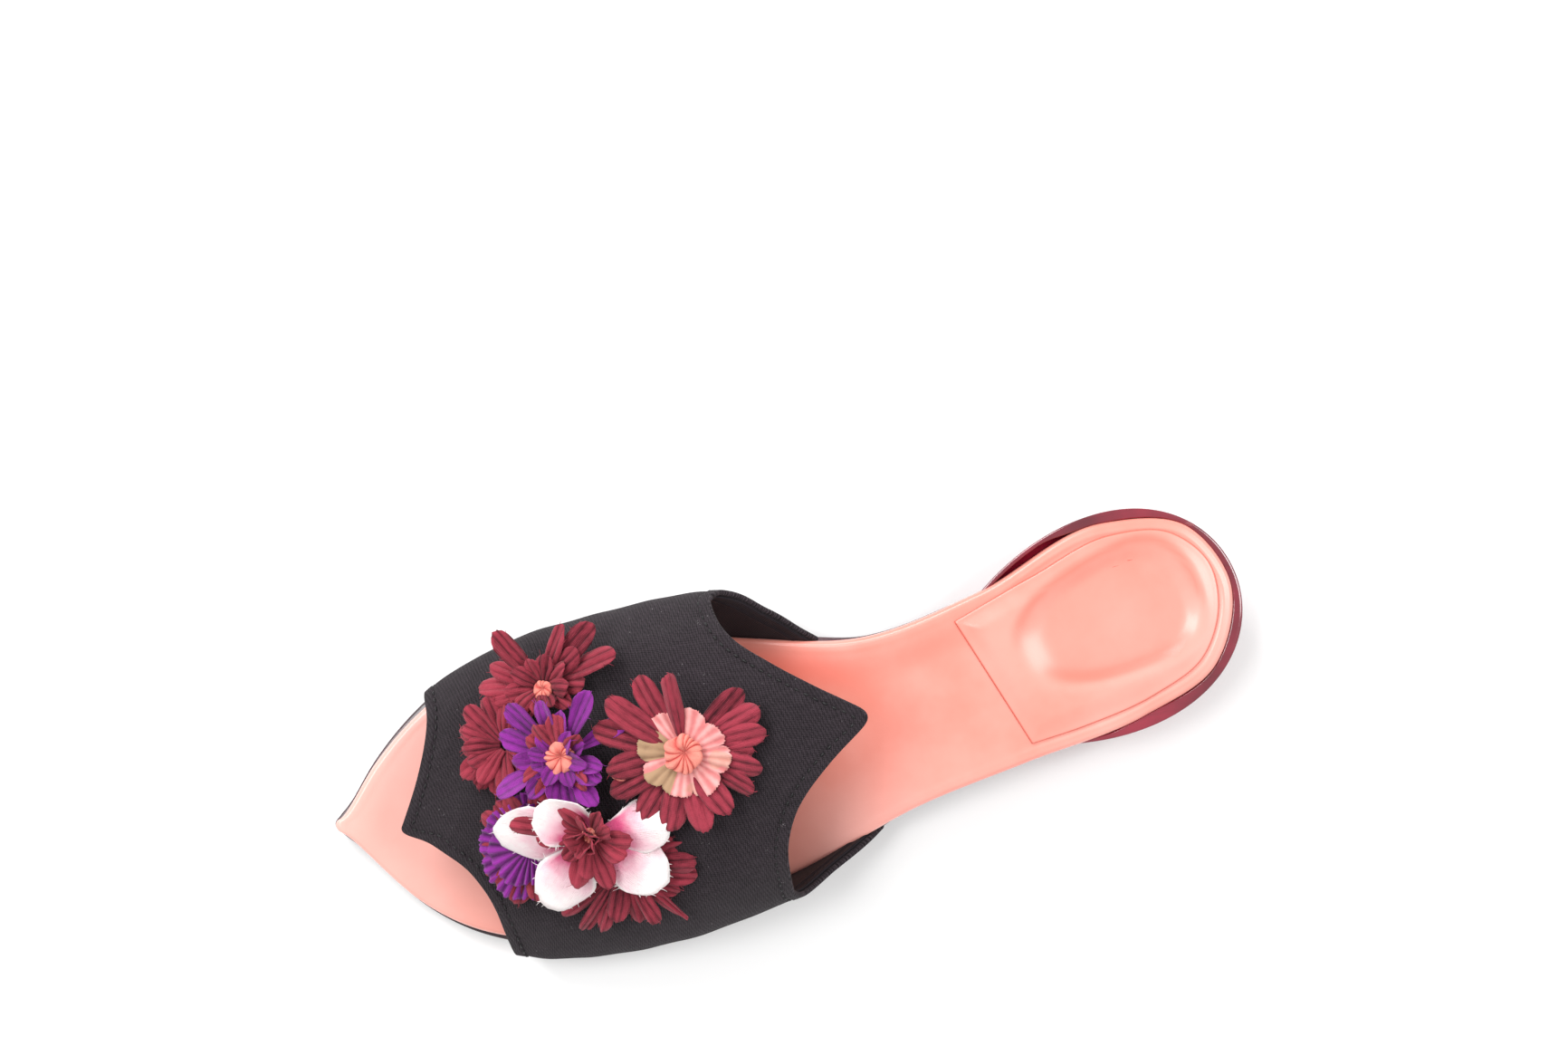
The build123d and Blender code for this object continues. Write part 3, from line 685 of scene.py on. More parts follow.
# ---- Footbed and sole ------------------------------------------------------------------------------
def rim_points(first_x, last_x, half_edge, count=300):
    """The closed outline as matched medial and lateral points, close together at both ends, and
    the middle line that they are drawn in towards."""
    q = (1 - np.cos(np.linspace(0, math.pi, count))) / 2
    x = first_x + (last_x - first_x) * q
    medial = np.stack([x, half_edge(1, x)], -1)
    lateral = np.stack([x, half_edge(-1, x)], -1)
    loop = np.vstack([medial, lateral[::-1][1:-1]])
    middle_x = np.clip(loop[:, 0], first_x + 27, last_x - 30)
    middle = np.stack([middle_x, (half_edge(1, middle_x) + half_edge(-1, middle_x)) / 2], -1)
    return loop, middle


def drawn_in(loop, middle, distances, inner=12):
    """Rings of plan points at set distances inside the outline, then evenly in to the middle."""
    reach = np.linalg.norm(loop - middle, axis=1)[:, None]
    near = 1 - np.asarray(distances)[None, :] / reach
    last = near[:, -1:]
    rest = last * (1 - np.linspace(0, 1, inner + 1)[1:])[None, :]
    share = np.maximum(np.concatenate([near, rest], 1), 0)
    return middle[:, None] + (loop - middle)[:, None] * share[..., None]


def sock_distance(points):
    """Signed distance in millimetres from the sock's outline, positive inside."""
    ring = np.vstack([along(SOCK, 260), along([SOCK[-1], SOCK[0]], 40)])
    gap = points[..., None, :] - ring
    near = np.sqrt((gap**2).sum(-1)).min(-1)
    offset = ring - np.array(SOCK_MIDDLE)
    order = np.argsort(np.arctan2(offset[:, 1], offset[:, 0]))
    angle = np.arctan2(offset[order, 1], offset[order, 0])
    radius = np.linalg.norm(offset[order], axis=1)
    d = points - np.array(SOCK_MIDDLE)
    limit = np.interp(np.arctan2(d[..., 1], d[..., 0]), angle, radius, period=2 * math.pi)
    return np.where(np.linalg.norm(d, axis=-1) < limit, near, -near)


def cup_reach(x, y):
    """How far out a place is from the middle of the heel cup, 1 at the cup's own edge: an oval
    that is longer towards the waist."""
    c, s = math.cos(HEEL_TURN), math.sin(HEEL_TURN)
    u = (x - CUP_X) * c + (y - CUP_Y) * s
    w = -(x - CUP_X) * s + (y - CUP_Y) * c
    long = np.where(u > 0, u / CUP_REAR, u / CUP_FRONT)
    wide = w / (CUP_HALF + 0.06 * u)
    return (np.abs(long) ** CUP_POWER + np.abs(wide) ** CUP_POWER) ** (1 / CUP_POWER)


def heel_cup(x, y):
    """Depth of the moulded cup in the heel seat: flat inside, with a wall that fades out beyond
    its edge."""
    return CUP_DEPTH * smoothstep(1.12, 0.72, cup_reach(x, y))


def footbed_surface(x, y):
    """Height of the covered footbed: its line along the shoe, hollowed at the heel and dished
    slightly where the foot's ball and arch press."""
    ball = 0.5 * np.exp(-(((x + 45) / 30) ** 2 + ((y + 6) / 24) ** 2))
    return top_z(x) - heel_cup(x, y) - ball


def footbed(material):
    """The leather-covered footbed: a closed pad with a rolled edge and a raised line inside it. The
    tint paints shade along the medial side of the waist."""
    loop, middle = rim_points(TIP_X, HEEL_X, edge_y)
    rounding = [0.0, 0.12, 0.35, 0.7, 1.1, 1.5]
    radius = rounding[-1]
    inner = [1.9, 2.3, 2.7, 3.1, 3.6, 4.2, 5.0, 6.0, 7.5]
    top = drawn_in(loop, middle, rounding + inner, 26)
    depth = np.zeros(top.shape[:2])
    for k, d in enumerate(rounding):
        depth[:, k] = radius - math.sqrt(radius**2 - (radius - d) ** 2)
    d_all = np.array(rounding + inner)
    ridge = 0.22 * np.exp(-(((d_all - 2.7) / 0.6) ** 2)) - 0.16 * np.exp(-(((d_all - 4.0) / 0.9) ** 2))
    z = footbed_surface(top[..., 0], top[..., 1]) - depth
    z[:, :len(d_all)] += ridge * (0.12 + 0.88 * smoothstep(55, 80, top[:, :1, 0]))
    z = z - 0.9 * smoothstep(0.3, 2.5, sock_distance(top))
    upper = np.concatenate([top, z[..., None]], -1)
    bottom = drawn_in(loop, middle, [0.0, 0.15, 0.5, 3.0], 4)
    under = top_z(bottom[..., 0]) - FOOTBED_T + np.array([0.5, 0.15, *[0.0] * 6])
    lower = np.concatenate([bottom, under[..., None]], -1)
    side_share = np.array([0.33, 0.66])[None, :, None]
    side = upper[:, :1] * (1 - side_share) + lower[:, :1] * side_share
    grid = np.concatenate([upper[:, ::-1], side, lower], 1)
    from_edge = edge_y(1, top[..., 0]) - top[..., 1]
    # painted shade: two darker patches along the medial side of the waist
    waist_painted_shade = 0.42 * np.exp(-(((top[..., 0] + 2) / 30) ** 2)) * np.exp(-(((from_edge - 8) / 7) ** 2))
    waist_painted_shade += 0.25 * np.exp(-(((top[..., 0] - 45) / 16) ** 2)) * np.exp(-(((from_edge - 8) / 5) ** 2))
    tint = np.concatenate([waist_painted_shade[:, ::-1], np.zeros((len(loop), grid.shape[1] - waist_painted_shade.shape[1]))], 1)
    sheets = Sheets()
    sheets.add(grid, wrap_rows=True, uv=grid[..., :2], tint=tint)
    return sheets.make("footbed_cover", [material], outward=True)


def heel_sock(material):
    """The sock: a leather patch over a thin pad. Its rim is turned down and the middle is hollow.
    The tint paints shade on the cup's walls and floor, and a dark line of painted shade at the rim."""
    ring = np.vstack([along(SOCK, 230), along([SOCK[-1], SOCK[0]], 60)[1:-1]])
    middle = np.broadcast_to(np.array(SOCK_MIDDLE), ring.shape)
    rounding = [0.0, 0.08, 0.25, 0.5, 0.8]
    plan = drawn_in(ring, middle, rounding + [1.4, 2.2, 3.2, 4.5, 6.0], 24)
    z = footbed_surface(plan[..., 0], plan[..., 1]) + SOCK_T
    for k, d in enumerate(rounding):
        z[:, k] -= SOCK_T * (1 - math.sqrt(1 - (1 - d / rounding[-1]) ** 2))
    z += SOCK_PAD_T * smoothstep(0.6, 6.0, sock_distance(plan))
    upper = np.concatenate([plan, z[..., None]], -1)
    under = upper[:, [0, -1]] - np.array([0, 0, 0.5])
    grid = np.concatenate([upper[:, ::-1], under], 1)
    reach = cup_reach(grid[..., 0], grid[..., 1])
    # painted shade on the cup: a darker arc on the upper wall, a darker band inside the lower wall and a
    # deeper floor
    shade = 0.34 * np.exp(-(((reach - 1.03) / 0.09) ** 2)) * smoothstep(-2, 12, grid[..., 1])
    shade += 0.42 * np.exp(-(((reach - 0.88) / 0.12) ** 2)) * smoothstep(4, -8, grid[..., 1])
    shade += 0.20 * smoothstep(1.0, 0.7, reach)
    # painted shade: a dark line along the sock's rim and under it
    shade[:, -5:] = 0.75
    sheets = Sheets()
    sheets.add(grid, wrap_rows=True, uv=grid[..., :2], tint=np.maximum(shade, 0))
    return sheets.make("heel_sock_leather", [material], outward=True)


def sole_edge(side, x):
    """The outsole's outline: the footbed's edge and its welt, drawn together under the heel."""
    y = sole_y(side, x)
    middle = (sole_y(1, x) + sole_y(-1, x)) / 2
    taper = np.clip((x - 48) / 18.5, 0, 1)
    return middle + (y - middle) * np.sqrt(1 - taper**3) ** 0.8


def outsole(material):
    """The outsole: a thin plate with softly rounded edges that thins towards the heel."""
    loop, middle = rim_points(TIP_X - TIP_WELT, OUTSOLE_END, sole_edge)
    edge = [0.0, 0.12, 0.4, 0.8]
    drop = [0.8, 0.4, 0.1]
    upper = drawn_in(loop, middle, edge[:3] + [2.5], 3)
    lower = drawn_in(loop, middle, edge + [2.5], 10)
    thick = OUTSOLE_T - 1.3 * smoothstep(20, 62, lower[..., 0])
    top = top_z(upper[..., 0]) - FOOTBED_T - np.array([0.45, 0.15, *[0.0] * 5])
    base = np.maximum(top_z(lower[..., 0]) - FOOTBED_T - thick, 0) + np.array([*drop, *[0.0] * 12])
    over = np.concatenate([upper, top[..., None]], -1)
    under = np.concatenate([lower, base[..., None]], -1)
    mid_share = np.array([0.35, 0.7])[None, :, None]
    side = over[:, :1] * (1 - mid_share) + under[:, :1] * mid_share
    sheets = Sheets()
    sheets.add(np.concatenate([over[:, ::-1], side, under], 1), wrap_rows=True)
    return sheets.make("outsole_leather", [material], outward=True)


def heel_hull(z, t):
    """Plan place of the heel's surface at height z and angle t about its axis: an oval slice,
    fuller at the rear, whose ends and width are smooth curves through the slices."""
    k = np.array(HEEL_SLICES)
    front, rear, half = (through(k[:, 0], k[:, n], z) for n in (1, 2, 3))
    u = (front + rear) / 2 + (rear - front) / 2 * np.cos(t)
    w = half * np.sin(t) * (1 + EGG * np.cos(t))
    c, s = math.cos(HEEL_TURN), math.sin(HEEL_TURN)
    return np.stack([HEEL_CENTRE[0] + u * c - w * s, HEEL_CENTRE[1] + u * s + w * c], -1)


def heel(material):
    """The heel: a half egg from its flat foot up to a thin rim that stands round the footbed."""
    t = np.linspace(0, 2 * math.pi, 241)[:-1][:, None]
    top = np.full(t.shape, 22.0)
    for _ in range(12):
        top = top_z(heel_hull(top, t)[..., 0]) - RIM_DROP
    share = (np.linspace(0, 1, 44) ** 1.6)[None, :]
    z = FOOT_Z + (top - FOOT_Z) * share
    wall = np.concatenate([heel_hull(z, t), z[..., None]], -1)
    axis_plan = HEEL_CENTRE + np.array([-8 * math.cos(HEEL_TURN), -8 * math.sin(HEEL_TURN)])
    edge = wall[:, -1]
    inward = unit(np.concatenate([axis_plan - edge[:, :2], np.zeros((len(edge), 1))], -1))
    gap = np.sqrt(((edge[:, None, :2] - outline[None, ::12]) ** 2).sum(-1)).min(-1)
    lip = (LIP + (np.clip(gap + 0.1, 1.0, 4.0) - LIP) * smoothstep(78, 92, edge[:, 0]))[:, None]
    rim = [edge + inward * d + np.array([0, 0, h]) for d, h in
           ((0.06, 0.18), (0.22, 0.36), (0.5, 0.45), (lip - 0.45, 0.45), (lip - 0.15, 0.3), (lip, 0.0),
            (lip, -1.9))]
    seat_ring = rim[-1]
    well = [seat_ring * (1 - f) + np.concatenate(
        [np.broadcast_to(axis_plan, (len(edge), 2)), seat_ring[:, 2:]], 1) * f for f in (0.35, 0.7)]
    seat_top = np.broadcast_to(np.array([*axis_plan, seat_ring[:, 2].mean()]), edge.shape)
    foot_middle = (wall[0, 0, :2] + wall[len(wall) // 2, 0, :2]) / 2
    foot = np.broadcast_to(np.array([*foot_middle, FOOT_Z]), edge.shape)
    foot_ring = (wall[:, 0] + foot) / 2
    inside = np.stack([*rim, *well, seat_top], 1)
    grid = np.concatenate([foot[:, None], foot_ring[:, None], wall, inside], 1)
    sheets = Sheets()
    sheets.add(grid, wrap_rows=True)
    return sheets.make("heel_lacquered", [material], outward=True)


# ---- Flowers ---------------------------------------------------------------------------------------
def vamp_at(x, y):
    """Where the vamp's surface is at plan places x, y: v is read from a table of y against v."""
    table_v = np.linspace(0.03, 0.97, 500)
    x, y = np.broadcast_arrays(np.asarray(x, float), np.asarray(y, float))
    flat_x, flat_y = x.ravel(), y.ravel()
    lines = arch(*np.broadcast_arrays(flat_x[:, None], table_v))[..., 1]
    v = np.array([np.interp(want, line, table_v) for want, line in zip(flat_y, lines)])
    return arch(flat_x, v).reshape(x.shape + (3,)), v.reshape(x.shape)


def on_vamp(x, y, lift=0.0, upright=0.35):
    """A place above the vamp: origin, two directions along it and the way up, which leans from
    the surface's own normal towards the vertical."""
    p, v = vamp_at(x, y)
    along_x = arch(np.array(x + 0.5), v) - arch(np.array(x - 0.5), v)
    across = arch(np.array(x), v + 0.004) - arch(np.array(x), v - 0.004)
    normal = unit(np.cross(along_x, across))
    normal = normal if normal[2] > 0 else -normal
    up = unit(normal * (1 - upright) + np.array([0, 0, upright]))
    right = unit(np.array([1.0, 0, 0]) - up * up[0])
    return p + np.array([0, 0, lift]), right, np.cross(up, right), up


def petal(rng, reach, width, root=1.2, rise=2.0, droop=2.5, cup=0.5, pleat=0.45, waist=0.34, belly=0.62,
          ripple=0.3, twist=0.0, fray=0.11, curl=0.0, rows=17, cols=19):
    """One petal, root near the origin and tip along +X. Every line of constant w runs from the
    root to its own end, and the ends lie on a half ellipse, so the tip is round. Across, two
    creases at a third and two thirds of the width leave three soft pleats; along, it rises by a
    sine, droops by a square and curls up by a fourth power. The tip is frayed by a zigzag."""
    u = np.linspace(0, 1, rows)[:, None]
    w = np.sin(np.linspace(-math.pi / 2, math.pi / 2, cols))[None, :]
    length = reach - root
    shoulder = 1 - min(0.66 * width / length, 0.62)
    ends = shoulder + (1 - shoulder) * np.maximum(1 - np.abs(w) ** 2.1, 0) ** 0.62
    fold = np.abs(np.cos(1.5 * math.pi * w)) ** 0.8
    ends = ends - (1 - fold) * 0.14 / length * smoothstep(1.0, 0.8, np.abs(w))
    frayed = rng.normal(0, 1, (1, cols)) * fray * smoothstep(0.75, 1.0, u)
    x = root + length * u * ends + frayed
    body = waist + (1 - waist) * smoothstep(0, belly, u * ends)
    rim = rng.normal(0, 1, (rows, 1)) * fray * 0.35 * np.abs(w) ** 6 * smoothstep(0.2, 0.6, u)
    y = w * (width / 2 * body + rim)
    bow = rng.uniform(-1, 1) * 0.06 * length
    y = y + bow * (u * ends) ** 2
    phase, second = rng.uniform(0, 6, 2)
    span = u * ends
    lean = rng.normal(0, 0.45)
    z = (rise * np.sin(span * math.pi / 2) - droop * span**2 + curl * span**4 - cup * w**2 * body
         + lean * w * body + pleat * (fold - 0.6) * np.sin(math.pi * np.clip(span, 0, 0.9))
         + ripple * np.sin(4.2 * span + 1.7 * w + phase) * span
         + ripple * 0.6 * np.cos(5 * w + second) * span)
    angle = twist * span
    y, z = y * np.cos(angle) - z * np.sin(angle) * 0.3, z + y * np.sin(angle)
    streak = 0.10 * np.sin(9 * w + 3 * span + rng.uniform(0, 6)) * np.sin(5 * span + rng.uniform(0, 6))
    # painted shade: the tint drops in the two creases, where fold is low
    tint = 0.20 + 0.46 * fold + 0.22 * span + rng.normal(0, 0.12) + streak + 0.10 * np.abs(w) ** 5
    uv = np.stack([w * width * 0.5 + 0 * u, span * length], -1)
    out = np.maximum(span, np.abs(w) ** 4 * smoothstep(0.1, 0.5, u) * 0.95)
    return np.stack([x + 0 * w, y, z], -1), uv, np.clip(tint + 0 * w, 0, 1), out


def turned(points, place, angle, tilt=0.0):
    """Petal points tilted up about their root, turned about the flower's axis and put in place."""
    origin, right, ahead, up = place
    c, s = math.cos(tilt), math.sin(tilt)
    x, y, z = points[..., 0] * c - points[..., 2] * s, points[..., 1], points[..., 0] * s + points[..., 2] * c
    c, s = math.cos(angle), math.sin(angle)
    x, y = x * c - y * s, x * s + y * c
    return origin + x[..., None] * right + y[..., None] * ahead + z[..., None] * up


def rim_fibres(rng, grid, count, length):
    """Loose threads at a petal's rim: thin tapered strips that start at random rim points and
    run outwards, each bending a little."""
    rim = np.concatenate([grid[6:, 0], grid[-1], grid[6:, -1][::-1]])
    inside = grid[len(grid) // 2, grid.shape[1] // 2]
    start = rim[rng.integers(0, len(rim), count)]
    away = unit(unit(start - inside) + rng.normal(0, 0.45, (count, 3)))
    bend = rng.normal(0, 0.3, (count, 3))
    side = unit(np.cross(away, [0.1, 0.2, 1.0])) * 0.07
    t = np.linspace(-0.2, 1, 5)[None, :, None]
    reach = rng.uniform(0.35, 1.0, (count, 1, 1)) * length
    line = start[:, None] + (away[:, None] * t + bend[:, None] * t**2) * reach
    taper = 1 - 0.7 * np.clip(t, 0, 1)
    return np.stack([line - side[:, None] * taper, line + side[:, None] * taper], 2)


def flower(name, seed, place, petals, material, thickness=0.26, stack=0.3, fibres=4, **shape):
    """A ring of petals, each (angle, reach, width, tilt in degrees, its own changes to the
    shape). Alternate petals lie a little higher, so that neighbours overlap."""
    rng = np.random.default_rng(seed)
    sheets = Sheets()
    reaches = []
    for k, (turn_deg, reach, width, tilt, *own) in enumerate(petals):
        form = {**shape, **(own[0] if own else {})}
        form.setdefault("twist", rng.normal(0, 0.34))
        form["droop"] = form.get("droop", 2.5) * rng.uniform(0.6, 1.35)
        form["cup"] = form.get("cup", 0.5) + rng.normal(0, 0.35)
        tilt = math.radians(tilt)
        points, uv, tint, out = petal(rng, reach / math.cos(tilt) ** 0.5, width, **form)
        points[..., 2] += stack * (1 if k % 2 else -1) + 0.02 * k
        uv = uv + rng.uniform(0, 50, 2)
        grid = turned(points, place, math.radians(turn_deg), tilt)
        sheets.add(grid, uv=uv, tint=tint)
        reaches.append(out.ravel())
        for strip in rim_fibres(rng, grid, fibres, 1.3):
            sheets.add(strip, tint=0.8)
            reaches.append(np.ones(strip.shape[0] * 2))
    piece = sheets.make(name, [material], merge=False)
    layer = piece.data.attributes.new("reach", "FLOAT", "POINT")
    layer.data.foreach_set("value", np.concatenate(reaches).astype(np.float32))
    return thicken(piece, thickness)


def ruffle(name, seed, place, radius, lobes, pleats, height, material, tan=(), inner=0.8, flare=1.0,
           slit=0.16, crimp=0.4, drop=0.0):
    """A pleated round: the radius dips between its lobes, the height waves with its pleats, more
    towards the edge, sinks by a square of the radius, and the edge is frayed."""
    rng = np.random.default_rng(seed)
    rows, cols = 18, 360
    u = np.linspace(0, 1, rows)[:, None]
    a = np.linspace(0, 2 * math.pi, cols, endpoint=False)[None, :]
    wander = np.sin(a * 2 + rng.uniform(0, 6)) * 0.9 + np.sin(a * 3 + rng.uniform(0, 6)) * 0.7
    scallop = np.abs(np.sin(a * lobes / 2 + 0.25 * np.sin(a * 2))) ** 0.4
    jag = rng.normal(0, 0.15, (1, cols)) * smoothstep(0.85, 1.0, u)
    uneven = 1 + 0.05 * np.sin(a * 2 + rng.uniform(0, 6)) + 0.03 * np.sin(a * 5 + rng.uniform(0, 6))
    r = inner + (radius - inner) * u * (1 - slit + slit * scallop) * uneven + jag
    wave = np.sin(a * pleats + wander + 0.8 * u * np.sin(a * 3))
    swell = np.sin(a * lobes + rng.uniform(0, 6))
    z = (flare * height * u**1.5 + height * crimp * wave * u**0.8 + 0.35 * swell * u
         - drop * u**2 + 0.5 * np.sin(a * 2 + 1) * u**2)
    points = np.stack([r * np.cos(a), r * np.sin(a), z + 0 * r], -1)
    # painted shade: darker in the pleats' valleys and in the slits between the lobes
    tint = np.clip(0.68 + 0.30 * wave * (0.35 + 0.65 * u) - 0.25 * (1 - scallop) + 0 * r, 0.40, 1)
    degrees = np.degrees(a)
    for low, high in tan:
        inside = smoothstep(low - 4, low + 4, degrees) * (1 - smoothstep(high - 4, high + 4, degrees))
        tint = tint * (1 - inside) + (tint - 0.38) * 0.45 * inside
    uv = np.stack([a * radius + 0 * u, u * radius + 0 * a], -1)
    sheets = Sheets()
    sheets.add(turned(points, place, 0.0), wrap_cols=True, uv=uv, tint=tint)
    return thicken(sheets.make(name, [material], merge=False), 0.24)


def button(name, seed, place, radius, height, gathers, material):
    """A gathered cloth knot: a dome pinched into uneven gathers, which run from a navel set off
    its middle to the rim. Radius and height both dip between the gathers."""
    rng = np.random.default_rng(seed)
    rows, cols = 28, 176
    u = np.linspace(0, 1, rows)[:, None]
    a = np.linspace(0, 2 * math.pi, cols, endpoint=False)[None, :]
    uneven = 0.30 * np.sin(a * 2 + rng.uniform(0, 6)) + 0.20 * np.sin(a * 3 + rng.uniform(0, 6))
    swirl = a + uneven + 0.5 * u**2
    fold = np.abs(np.sin(swirl * gathers / 2)) ** 0.5
    size = 1 + 0.06 * np.sin(a * gathers / 2 + rng.uniform(0, 6))
    polar = math.pi * 0.62 * u
    r = radius * np.sin(polar) * (0.87 + 0.13 * fold * np.sin(math.pi * u)) * size
    z = height * (np.cos(polar) * 0.62 + 0.38) - height * 0.34 * np.exp(-((u / 0.17) ** 2))
    z = z + 0.20 * radius * (fold - 0.6) * np.sin(math.pi * u * 0.9)
    off = radius * 0.16 * (1 - u) ** 1.5
    points = np.stack([r * np.cos(a) + off, r * np.sin(a) + off * 0.6, z + 0 * r], -1)
    bottom = np.stack([0 * a, 0 * a, z[-1:].mean() + 0 * a], -1)
    points = np.concatenate([points, bottom], 0)
    # painted shade: darker in the gathers' valleys and in the pinched navel
    tint = np.clip(0.05 + 0.85 * fold - 0.3 * np.exp(-((u / 0.2) ** 2)), 0, 1)
    tint = np.concatenate([tint, 0 * a], 0)
    uv = np.stack([a * radius + 0 * u, u * radius * 2 + 0 * a], -1)
    uv = np.concatenate([uv, uv[-1:]], 0)
    sheets = Sheets()
    sheets.add(turned(points, place, 0.0), wrap_cols=True, uv=uv, tint=tint)
    return sheets.make(name, [material], outward=True)


# each stem: x, y, height of the flower on it
STEMS = [(-25.5, 1.6, 6.0), (-58.8, 25.5, 5.5), (-73.1, 12.1, 2.6), (-57, 7, 9.0), (-71.4, -15.3, 3.5),
         (-54, -14, 11.5), (-48.2, -24.4, 2.6), (-42.9, 0.1, 6.5)]


def backing(material):
    """The cloth oval that the posy is sewn to, lying on the vamp, thinned to nothing at its edge,
    with a wrapped stem under each flower: a waisted tube from the vamp to the flower's middle."""
    r = np.sin(np.linspace(0, math.pi / 2, 14))[:, None]
    a = np.linspace(0, 2 * math.pi, 72, endpoint=False)[None, :]
    x, y = -57 + 17 * r * np.cos(a), -2 + 21 * r * np.sin(a)
    points, v = vamp_at(x, y)
    over = points + np.array([0, 0, 0.7]) * np.sqrt(np.maximum(1 - r[..., None] ** 6, 0))
    under = points[::-1] - np.array([0, 0, 0.2])
    grid = np.concatenate([over, under], 0)
    plan_uv = np.stack([v * CLOTH_WIDTH, x], -1)
    sheets = Sheets()
    sheets.add(grid, wrap_cols=True, uv=np.concatenate([plan_uv, plan_uv[::-1]], 0))
    q = np.linspace(0, 1, 9)[:, None]
    ring = np.linspace(0, 2 * math.pi, 14, endpoint=False)[None, :]
    for sx, sy, lift in STEMS:
        foot, right, ahead, _ = on_vamp(sx, sy)
        radius = (1.5 - 0.8 * np.sin(math.pi * q)) * np.sqrt(np.maximum(1 - (2 * q - 1) ** 12, 0))
        stem = (foot + radius[..., None] * (np.cos(ring)[..., None] * right + np.sin(ring)[..., None] * ahead)
                + (q * lift)[..., None] * np.array([0, 0, 1.0]))
        sheets.add(stem, wrap_cols=True, uv=np.stack([ring * 2 + 0 * q, q * lift + 0 * ring], -1))
    return sheets.make("posy_backing", [material], outward=True)


